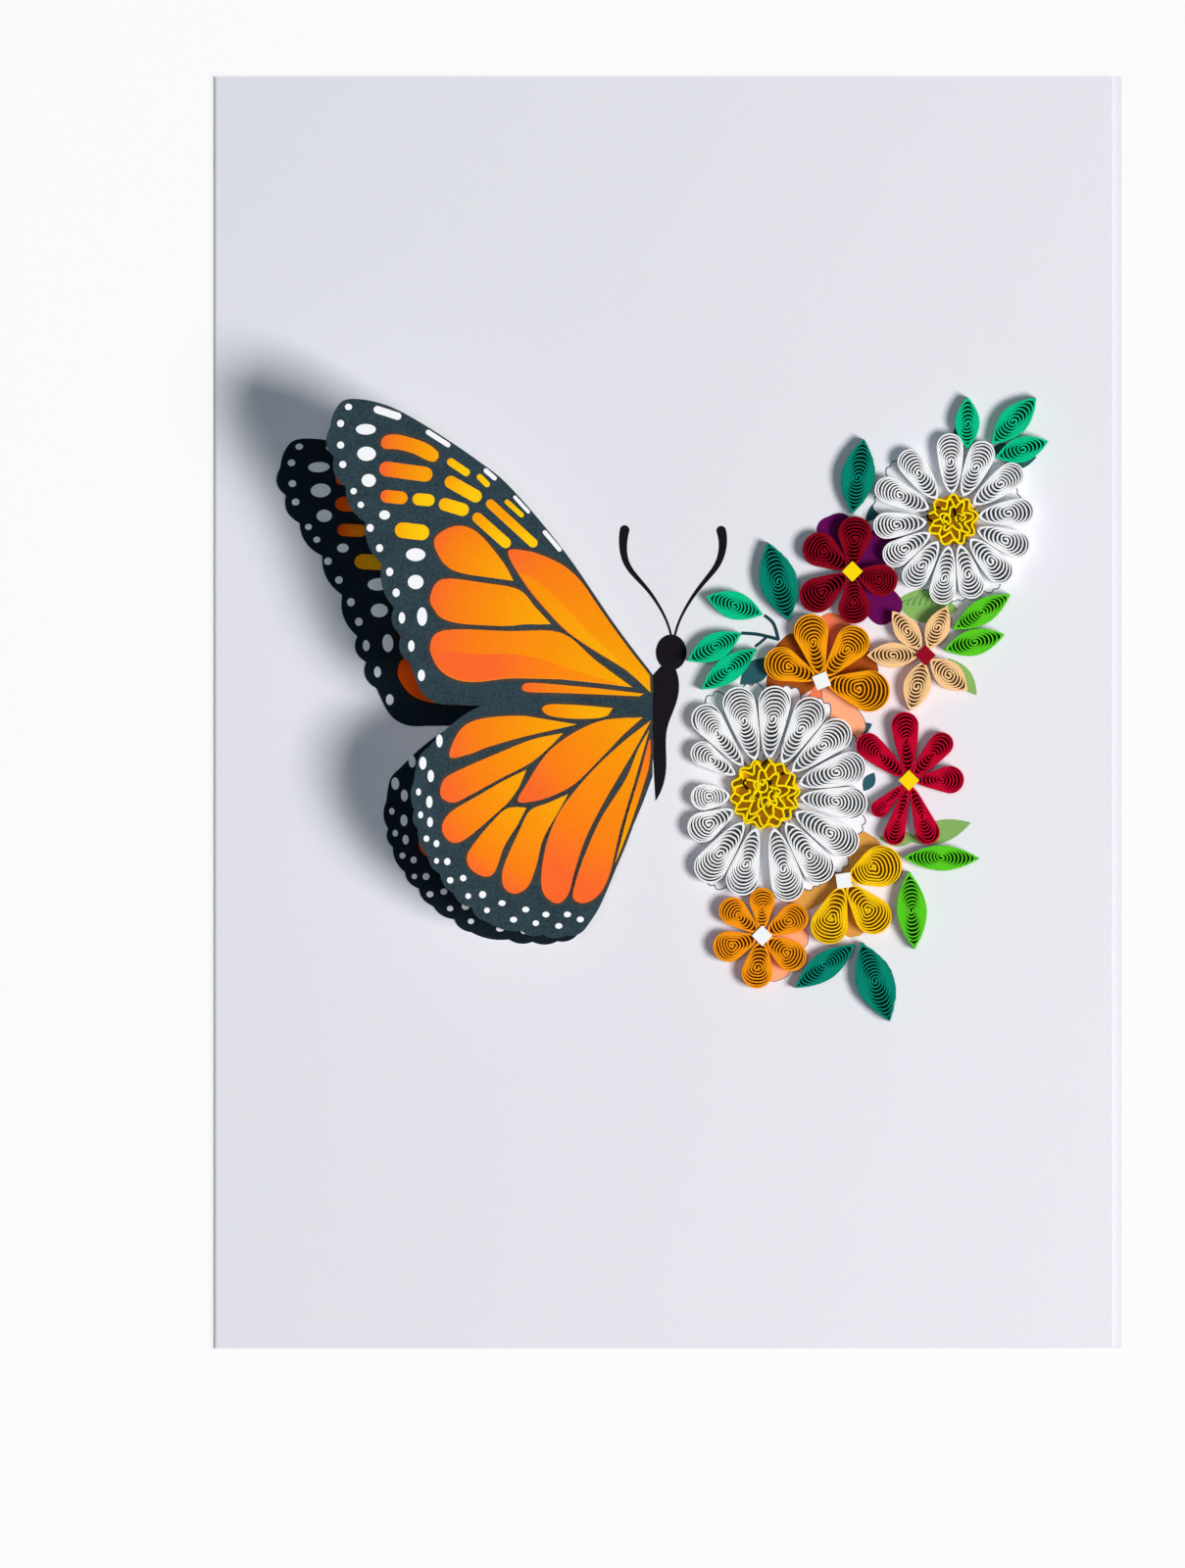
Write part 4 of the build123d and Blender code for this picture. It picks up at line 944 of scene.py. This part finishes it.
# %% Room for a petal
STATIONS, SHRINK = 16, 0.99
EASES = (1, 1.15, 1.3, 1.6, 2.2, 4)
WIDEST_HALF_GAP = 60


def half_width(outline, x):
    """Half the outline's width at one place along its axis, read off its upper flank."""
    for (x0, y0), (x1, y1) in zip(outline, outline[1:]):
        if x0 <= x <= x1:
            return y0 + (y1 - y0) * (x - x0) / ((x1 - x0) or 1)
    return 0.0


def roomiest(length, width, start, half_gap, pointed):
    """The fullest outline that keeps clear of the line halfway to the next petal."""
    stations = [length * i / STATIONS for i in range(1, STATIONS)]
    while True:
        choices = [teardrop(length, width, ease) for ease in EASES]
        if pointed:
            choices = [marquise(length, width)]
        for outline in choices:
            if all(half_width(outline, x) * math.cos(half_gap)
                   <= (start + x) * math.sin(half_gap) - PETAL_CLEARANCE / 2 for x in stations):
                return outline
        width *= SHRINK


def flower(centre, start, specs, pointed=False):
    """Each petal's outline, origin and angle."""
    made = []
    for angle, reach, width in specs:
        gaps = [abs((angle - other + 180) % 360 - 180) for other, _, _ in specs if other != angle]
        half_gap = math.radians(min(min(gaps) / 2, WIDEST_HALF_GAP))
        turn = math.radians(angle)
        origin = (centre[0] + start * math.cos(turn), centre[1] + start * math.sin(turn))
        made.append((roomiest(reach - start, width, start, half_gap, pointed), origin, turn))
    return made


one_petal = roomiest(10, 5, 5, TAU / 30, False)
print("a petal may be", round(2 * max(y for x, y in one_petal), 1), "mm wide if fifteen go round")

# %% [markdown]
# The white daisies come first, each with all of its petals in one mesh. Copies of one petal
# would be quick, but each real one is rolled by hand, so each gets a seed of its own. The
# petals press together, and their turns lie tight at the flanks.

# %% White petals
for name, centre, eye, width, specs in (
    ("large_daisy", LARGE_DAISY_AT, LARGE_DAISY_EYE, LARGE_DAISY_WIDTH, LARGE_DAISY),
    ("small_daisy", SMALL_DAISY_AT, SMALL_DAISY_EYE, SMALL_DAISY_WIDTH, SMALL_DAISY),
):
    drawing = Drawing()
    start = eye + EYE_CLEARANCE
    wide_specs = [(*spec, width) for spec in specs]
    for number, placed in enumerate(flower(centre, start, wide_specs)):
        coil(drawing, *placed, seed=number + len(specs), eye_share=0.55, lean=0.7, packing=1.9)
    drawing.piece(name + "_coils", [STRIPS["white"]], "white_strip", name + "_petals")
    print(name, "has", len(specs), "petals and", len(drawing.faces), "faces")

# %% [markdown]
# The coloured flowers have loose round petals, and the peach one has pointed ones. A few
# coils that look unlike the others have looks of their own. The painted shade under a coil has
# the coil's outline, so the outlines are remembered as the coils are made.

# %% Coloured petals
SLOTS = {kind: kind + "_strip" for kind in STRIPS}
SLOTS["yellow"] = "gold_strip"
LOOKS = {
    ("orange", 0): dict(bulge=1.15), ("orange", 3): dict(eye_share=0.5, bulge=1.2, packing=2.0),
    ("yellow", 0): dict(turns=8, eye_share=0.48, eye_side=0.4, bulge=1.15),
}
gap_shade_coils = {}


def set_coil(drawing, kind, slot, placed, **looks):
    """A coloured coil, and the outline of the painted shade under it."""
    coil(drawing, *placed, **looks)
    gap_shade_coils.setdefault((kind, slot), []).append(turned(*placed))


for name, (centre, specs) in FLOWERS.items():
    drawing = Drawing()
    for number, placed in enumerate(flower(centre, PETAL_START, specs, name == "peach")):
        looks = {"eye_share": 0.5 if name == "peach" else 0.55, **LOOKS.get((name, number), {})}
        set_coil(drawing, name, "petals_ink", placed, seed=10 * len(name) + number, **looks)
        if name != "small_orange":
            drawing.piece(f"{name}_coil_{number + 1}", [STRIPS[name]], SLOTS[name],
                          f"{name}_petal_{number + 1}")
            drawing = Drawing()
    if name == "small_orange":
        drawing.piece("small_orange_coils", [STRIPS[name]], SLOTS[name], "small_orange_petals")
print(sum(len(specs) for _, specs in FLOWERS.values()), "coloured petals")

# %% [markdown]
# The leaves are coils too, pinched at both ends. Perfect ones would look machine made, so
# three of the dark ones have rough outer turns, and two leaves have their eye off the middle,
# as coils do when they are pinched unevenly.

# %% Leaves
LEAF_LOOKS = {
    "upper_teal_leaf": dict(fray=0.10), "middle_teal_leaf": dict(fray=0.10),
    "bottom_leaf_right": dict(fray=0.16),
    "lime_leaf_right": dict(eye_side=0.1, packing=1.9), "bottom_leaf_left": dict(eye_side=-0.2),
}
for number, (name, (base, tip, width, kind)) in enumerate(LEAVES.items()):
    drawing = Drawing()
    length = math.dist(base, tip)
    turn = math.atan2(tip[1] - base[1], tip[0] - base[0])
    set_coil(drawing, kind, "leaves_ink", (marquise(length, width), base, turn),
             seed=200 + number, **LEAF_LOOKS.get(name, {}))
    drawing.piece(name + "_coil", [STRIPS[kind]], SLOTS[kind], name)
print(len(LEAVES), "leaves coiled")

# %% [markdown]
# The daisies' eyes are crimped strips, wound inwards. One long wavy spiral would come close,
# but rings are easier to shape. Each has fewer waves than the one outside it, they cross as
# the real crimps do, and small loops fill the middle.


# %% Daisy eyes
def band(drawing, line, height, thick):
    """A strip stood on edge along a line, its walls darker towards the card as painted shade."""
    points = []
    top = COIL_SEAT + height
    for i, (x, y) in enumerate(line):
        nx, ny = (thick / 2 * part for part in across(line, i))
        points += [(x - nx, y - ny, COIL_SEAT), (x - nx, y - ny, top),
                   (x + nx, y + ny, top), (x + nx, y + ny, COIL_SEAT)]
    # Painted shade: a tone of 1 at the feet and 0 at the tops
    drawing.add(points, strip_faces(len(line)), [1.0, 0.0, 0.0, 1.0] * len(line))


CRIMP_WALL, LOOP_WALL = 0.29, 0.27
POINTS_PER_WAVE, OVERLAP, UNEVENNESS = 10, 6, 0.5
# The loops: how far out they stand, how much their direction varies, their least and
# greatest size, their points, the turn from point to point, how they narrow, and how much
# higher each one stands than the last
LOOP_RING, LOOP_WANDER, LOOP_SIZES, LOOP_POINTS = 0.24, 0.3, (0.13, 0.2), 17
LOOP_TURN, LOOP_NARROWING, LOOP_RISE = 0.5, 0.03, 0.05


def crimped(centre, radius, name, seed, rings, loops):
    """An eye. A ring is its share of the radius, its waves' share, their number and its height."""
    rng = random.Random(seed)
    drawing = Drawing()
    for level, wave, lobes, height in rings:
        phase = rng.uniform(0, TAU)
        line = []
        for i in range(lobes * POINTS_PER_WAVE + OVERLAP):
            a = phase + TAU * i / (lobes * POINTS_PER_WAVE)
            r = radius * (level + wave * math.sin(lobes * a + UNEVENNESS * math.sin(3 * a + phase)))
            line.append((centre[0] + r * math.cos(a), centre[1] + r * math.sin(a)))
        band(drawing, line, height, CRIMP_WALL)
    for k in range(loops):
        a = TAU * k / loops + rng.uniform(-LOOP_WANDER, LOOP_WANDER)
        out = radius * LOOP_RING
        middle = (centre[0] + out * math.cos(a), centre[1] + out * math.sin(a))
        size = radius * rng.uniform(*LOOP_SIZES)
        line = [(middle[0] + size * (1 - LOOP_NARROWING * i) * math.cos(a + LOOP_TURN * i),
                 middle[1] + size * math.sin(a + LOOP_TURN * i)) for i in range(LOOP_POINTS)]
        band(drawing, line, STRIP_HEIGHT + LOOP_RISE * k, LOOP_WALL)
    drawing.piece(name + "_crimps", [STRIPS["eye"]], "yellow_strip", name + "_eye")
    print(name, "has an eye of", len(drawing.faces), "faces")


crimped(LARGE_DAISY_AT, LARGE_DAISY_EYE, "large_daisy", seed=4, loops=4,
        rings=((0.95, 0.07, 14, 2.45), (0.80, 0.14, 11, 2.3), (0.58, 0.15, 8, 2.5),
               (0.36, 0.10, 6, 2.4)))
crimped(SMALL_DAISY_AT, SMALL_DAISY_EYE, "small_daisy", seed=9, loops=2,
        rings=((0.92, 0.12, 9, 2.45), (0.68, 0.18, 8, 2.3), (0.38, 0.16, 5, 2.5)))

# %% [markdown]
# Print on the card shows between and under the coils: pale daisy petals with a thin grey
# outline, petals and leaves in flat washes, and the stems of the sprig. Each wash is a
# filled outline a few hundredths of a millimetre over the card. A picture on the card would
# lie flat without that, but its edges would blur up close. Where two shapes lie in one plane
# they flicker, so each has its own small step up.

# %% Inks on the card and painted shade under the coils
# Each ink's colour and its speckle
WASH_COLOURS = {
    "daisy": ((225, 225, 229), 0.03), "outline": ((92, 96, 104), 0.2),
    "plum": ((98, 6, 84), 0.25), "brown": ((150, 74, 20), 0.25),
    "salmon": ((230, 120, 80), 0.15), "peach": ((246, 170, 128), 0.12),
    "ochre": ((206, 150, 70), 0.15), "umber": ((254, 200, 30), 0.25),
    "leaf": ((132, 176, 96), 0.3), "dark leaf": ((88, 138, 70), 0.3),
    "teal": ((42, 86, 96), 0.3), "stem": ((22, 62, 70), 0.2),
}
WASHES = {kind: paper(kind + " print", colour(*tint), speckle, 0.2)
          for kind, (tint, speckle) in WASH_COLOURS.items()}
# Painted shade under each coloured coil: a flat a little darker than the coil, tinted in its hue
GAP_SHADE = {
    "crimson": (96, 0, 16), "orange": (222, 122, 0), "peach": (238, 172, 108),
    "red": (140, 0, 26), "yellow": (236, 160, 0), "small_orange": (218, 108, 0),
    "mint": (0, 146, 98), "teal": (0, 78, 66), "lime": (40, 134, 4),
}
print(len(WASHES), "inks for the card")

# %% [markdown]
# A printed petal is a smooth line through a few points, a leaf takes the outline that its
# coil has, and a stem is a line with a width at each end. More points would follow a brush
# more closely, but so little of the print is seen that these few are enough.


# %% Print shapes
def painted_petal(centre, angle, start, reach, width, notch=0.0):
    """A petal's flat outline with a round or notched end."""
    length = reach - start
    half = width / 2
    side = [(0.0, 0.12), (0.25, 0.55), (0.5, 0.88), (0.72, 1.0), (0.88, 0.92), (0.97, 0.64)]
    upper = [(length * t, half * w) for t, w in side]
    end = [(length, half * 0.32), (length * (1 - notch), 0.0), (length, -half * 0.32)]
    loop = smooth(upper + end + [(x, -y) for x, y in reversed(upper)], 4, True)
    return turned([(start + x, y) for x, y in loop], centre, math.radians(angle))


# How much higher each shape of a wash lies, and a spacing that leaves no points inside one
STEP_UP, OUTLINE_ONLY = 0.0007, 50


def wash(kind, loops, level, slot, *replaced, outline=0.0):
    """One wash at a level over the card, print or the painted shade under the coils, with a line
    round it if it has a width.
    """
    drawing, line = Drawing(), Drawing()
    for number, loop in enumerate(loops):
        step = STEP_UP * number
        drawing.flat(loop, card_height(level + step), spacing=OUTLINE_ONLY)
        if outline:
            line.ribbon(loop, outline, card_height(level + step), 0)
    drawing.piece("print_" + kind, [WASHES[kind]], slot, *replaced)
    if outline:
        line.piece("print_line_" + kind, [WASHES["outline"]], slot)


def leaf_loop(base, tip, width):
    """A printed leaf's outline from its base to its tip."""
    turn = math.atan2(tip[1] - base[1], tip[0] - base[0])
    return turned(marquise(math.dist(base, tip), width), base, turn)


def thick_line(points, first, last):
    """A brush stroke that changes its width along the way."""
    line = smooth(points, 8)
    left, right = [], []
    for i, (x, y) in enumerate(line):
        nx, ny = across(line, i)
        half = (first + (last - first) * i / (len(line) - 1)) / 2
        left.append((x + nx * half, y + ny * half))
        right.append((x - nx * half, y - ny * half))
    return left + right[::-1]


def petals(centre, start, specs, notch=0.0):
    """The outlines of a flower's printed petals."""
    return [painted_petal(centre, angle, start, reach, width, notch)
            for angle, reach, width in specs]


print("a printed petal has", len(painted_petal((0, 0), 0, 1, 8, 4)), "points")

# %% [markdown]
# Each ink goes on in one wash. The last ones are painted shade rather than print: under each
# coloured coil lies its outline in a darker tone of its colour, so that the gaps between the
# turns look shaded and no pale card shines up between them. The coils could be given a floor
# of their own instead, but these are drawn as washes on the card.

# %% Washes
DAISY_PRINT = ((118, 15.8), (97, 15.5), (76, 15.4), (57, 15.4), (30, 14.9), (-18, 14.5),
               (-43, 15.2), (-62, 14.8), (-119, 14.8))
SMALL_DAISY_PRINT = ((-59, 11.4), (-86, 11.3), (139, 11.6), (167, 11.2), (22, 9.9))
CRIMSON_AT, ORANGE_AT = FLOWERS["crimson"][0], FLOWERS["orange"][0]
YELLOW_AT, SMALL_ORANGE_AT = FLOWERS["yellow"][0], FLOWERS["small_orange"][0]
# After the outlines come the level over the card, the slot and the CAD node replaced
wash("daisy", petals(LARGE_DAISY_AT, 4.5, [(*spec, 3.4) for spec in DAISY_PRINT], 0.03)
     + petals(SMALL_DAISY_AT, 3.5, [(*spec, 3.0) for spec in SMALL_DAISY_PRINT], 0.03),
     0.045, "petals_ink", outline=0.16)
wash("plum", petals(CRIMSON_AT, 0, ((112, 8.4, 5.2), (40, 8.6, 5.2), (-48, 8.8, 5.2))),
     0.03, "petals_ink")
wash("brown", petals(ORANGE_AT, 0, ((134, 8.0, 4.6), (18, 8.1, 4.6), (187, 7.7, 4.6))),
     0.02, "petals_ink")
wash("salmon", petals(ORANGE_AT, 0, ((77, 9.6, 4.8), (-98, 6.6, 4.6))), 0.022, "petals_ink")
wash("peach", petals(ORANGE_AT, 1, ((-62, 9.4, 5.4),))
     + petals(SMALL_ORANGE_AT, 1, ((-66, 6.6, 3.6), (-4, 6.4, 2.8))),
     0.026, "petals_ink", "printed_petals", outline=0.1)
wash("ochre", petals(YELLOW_AT, 0, ((175, 8.2, 5.0), (-162, 8.4, 4.8), (100, 6.0, 6.5),
                                    (60, 7.4, 5.0), (-78, 8.0, 3.4))),
     0.024, "petals_ink")
wash("umber", [oval(*LARGE_DAISY_AT, LARGE_DAISY_EYE, LARGE_DAISY_EYE, 30),
               oval(*SMALL_DAISY_AT, SMALL_DAISY_EYE, SMALL_DAISY_EYE, 30)],
     0.048, "petals_ink")
LEAF_PRINTS = (
    ((40.6, 14.4), (31.6, 15.4), 4.4), ((39.2, 7.6), (43.2, 2.4), 2.4),
    ((33.6, -18.0), (42.4, -15.4), 3.0), ((29.6, -17.6), (34.8, -17.6), 2.2),
)
TEAL_PRINTS = (
    ((10.1, 3.9), (14.6, 7.6), 2.9), ((25.2, -3.2), (28.6, -1.6), 1.8),
    ((27.4, -11.0), (28.9, -8.4), 1.6), ((27.6, 26.6), (31.0, 30.2), 1.8),
    ((41.0, 36.9), (40.3, 40.1), 1.5), ((46.5, 34.2), (51.6, 35.7), 1.8),
    ((44.9, 36.4), (48.4, 37.4), 1.3),
)
wash("leaf", [leaf_loop(*leaf) for leaf in LEAF_PRINTS], 0.02, "leaves_ink", "printed_leaves")
wash("teal", [leaf_loop(*leaf) for leaf in TEAL_PRINTS], 0.018, "leaves_ink")
wash("stem", [thick_line(((13.5, 13.6), (14.8, 12.4), (15.5, 10.1)), 0.46, 0.5),
              thick_line(((10.3, 11.1), (12.7, 10.9), (15.6, 10.2)), 0.46, 0.5),
              thick_line(((12.2, 9.2), (13.1, 9.9), (14.0, 10.7)), 0.4, 0.4)],
     0.02, "leaves_ink")
# Painted shade under the coloured coils, drawn as washes a little over the card
GAP_SHADE_LEVEL = 0.056
for (kind, slot), loops in gap_shade_coils.items():
    WASHES["under_" + kind] = paper(kind + " painted gap shade", colour(*GAP_SHADE[kind]), 0.15, 0.2)
    wash("under_" + kind, loops, GAP_SHADE_LEVEL, slot)
print(len(gap_shade_coils), "washes under the coils")

# %% [markdown]
# The leaf print under the small daisy is shaded with short strokes of a brush. A striped
# texture would do, but nine thin shapes need no unwrapping and bend with the leaf.

# %% Strokes on one leaf print
STROKES, FIRST_STROKE, STROKE_STEP = 9, 32.6, 0.85
strokes = Drawing()
for i in range(STROKES):
    x = FIRST_STROKE + STROKE_STEP * i
    droop = (i - STROKES // 2) ** 2
    line = ((x, 15.0), (x + 0.35, 16.0 - 0.03 * droop), (x + 0.9, 16.5 - 0.05 * droop))
    strokes.flat(thick_line(line, 0.28, 0.1), card_height(0.024), spacing=OUTLINE_ONLY)
strokes.piece("print_leaf_streaks", [WASHES["dark leaf"]], "leaves_ink")
print(STROKES, "strokes")

# %% [markdown]
# The card, its printed body and the little card squares already have the right form in the
# CAD model, down to the card's fold. They could be drawn again, but a second drawing could
# only differ from the first, so they keep their meshes and take a better material.

# %% CAD nodes kept
KEEP = {"card": CARD_PAPER, "printed_body": BODY_INK}
for name in FLOWERS:
    KEEP[name + "_square"] = SQUARES[name]
for name, material in KEEP.items():
    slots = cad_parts[name].data.materials
    slots.clear()
    slots.append(material)
print(len(KEEP), "CAD nodes keep their form")

# %% [markdown]
# The floor is plain and pale. More light would turn it white and would bleach the card too,
# so it is brighter only to the camera and in gloss and glass: Light Path mixes in an even
# white for those rays. The rest is a plain surface, which keeps the card's shadow.

# %% Floor
FLOOR_SIZE, EVEN_WHITE = 6, 0.9
floor_material = bpy.data.materials.new("studio floor")
floor_material.use_nodes = True
tree = floor_material.node_tree
plain = tree.nodes["Principled BSDF"]
plain.inputs["Base Color"].default_value = (0.86, 0.86, 0.87, 1)
plain.inputs["Roughness"].default_value = 0.9
bright = node(tree, "ShaderNodeEmission")
bright.inputs["Color"].default_value = (0.98, 0.98, 0.985, 1)
rays = node(tree, "ShaderNodeLightPath").outputs
either = worked(tree, "MAXIMUM", rays["Is Camera Ray"], rays["Is Glossy Ray"])
seen = worked(tree, "MAXIMUM", either, rays["Is Transmission Ray"])
mixed = node(tree, "ShaderNodeMixShader")
tree.links.new(worked(tree, "MULTIPLY", seen, EVEN_WHITE), mixed.inputs["Fac"])
tree.links.new(plain.outputs[0], mixed.inputs[1])
tree.links.new(bright.outputs[0], mixed.inputs[2])
tree.links.new(mixed.outputs[0], tree.nodes["Material Output"].inputs["Surface"])
bpy.ops.mesh.primitive_plane_add(size=FLOOR_SIZE, location=(0, 0, 0))
floor = bpy.context.object
floor.name = "floor"
floor.data.materials.append(floor_material)
print("floor", FLOOR_SIZE, "m wide")

# %% [markdown]
# A soft key light stands at the right and a little below, so the raised wing throws a long
# soft shadow up and to the left. The sky alone would light the coils too, but flatly. A weak
# cool light from overhead reaches into them and keeps their turns apart, and a dim cool sky
# fills the rest.


# %% Light
def area_light(name, toward, distance, size, power, tint):
    """A soft square light that looks at the card from this direction."""
    data = bpy.data.lights.new(name, "AREA")
    data.size = size
    data.energy = power
    data.color = tint
    light = bpy.data.objects.new(name, data)
    way = Vector(toward).normalized()
    light.location = way * distance
    light.rotation_euler = (-way).to_track_quat("-Z", "Y").to_euler()
    scene.collection.objects.link(light)
    print(name, "light at", [round(v, 2) for v in light.location])


area_light("key", toward=(0.6, -0.22, 1.0), distance=1.35, size=0.42, power=17.4,
           tint=(1.0, 0.98, 0.955))
area_light("overhead", toward=(-0.05, 0.05, 1.0), distance=2.5, size=0.6, power=9.6,
           tint=(0.76, 0.89, 1.0))
world = bpy.data.worlds.new("studio")
scene.world = world
world.use_nodes = True
sky = world.node_tree.nodes["Background"].inputs
sky["Color"].default_value = (0.65, 0.85, 1.0, 1)
sky["Strength"].default_value = 0.08
scene.view_settings.view_transform = "Standard"

# %% [markdown]
# The photographer looks straight down. From close by, the raised wing would be drawn larger
# than the card under it. From 4 m up it hardly is, and the lens is worked out from the height
# of the view.

# %% Camera
EYE_HEIGHT, VIEW_HEIGHT = 4.0, 0.2192
VIEW_CENTRE = (-10.5, -10.0)
SENSOR = 36
camera_data = bpy.data.cameras.new("camera")
camera_data.lens = SENSOR * EYE_HEIGHT / VIEW_HEIGHT
camera_data.clip_end = 5 * EYE_HEIGHT
camera = bpy.data.objects.new("camera", camera_data)
camera.location = (VIEW_CENTRE[0] * MM, VIEW_CENTRE[1] * MM, EYE_HEIGHT + CARD_FACE * MM)
scene.collection.objects.link(camera)
scene.camera = camera
print("lens", round(camera_data.lens), "mm")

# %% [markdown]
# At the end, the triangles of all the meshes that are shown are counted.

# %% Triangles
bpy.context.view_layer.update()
shown = [o.data for o in bpy.data.objects if o.type == "MESH" and not o.hide_render]
print("triangles", sum(len(p.vertices) - 2 for mesh in shown for p in mesh.polygons))
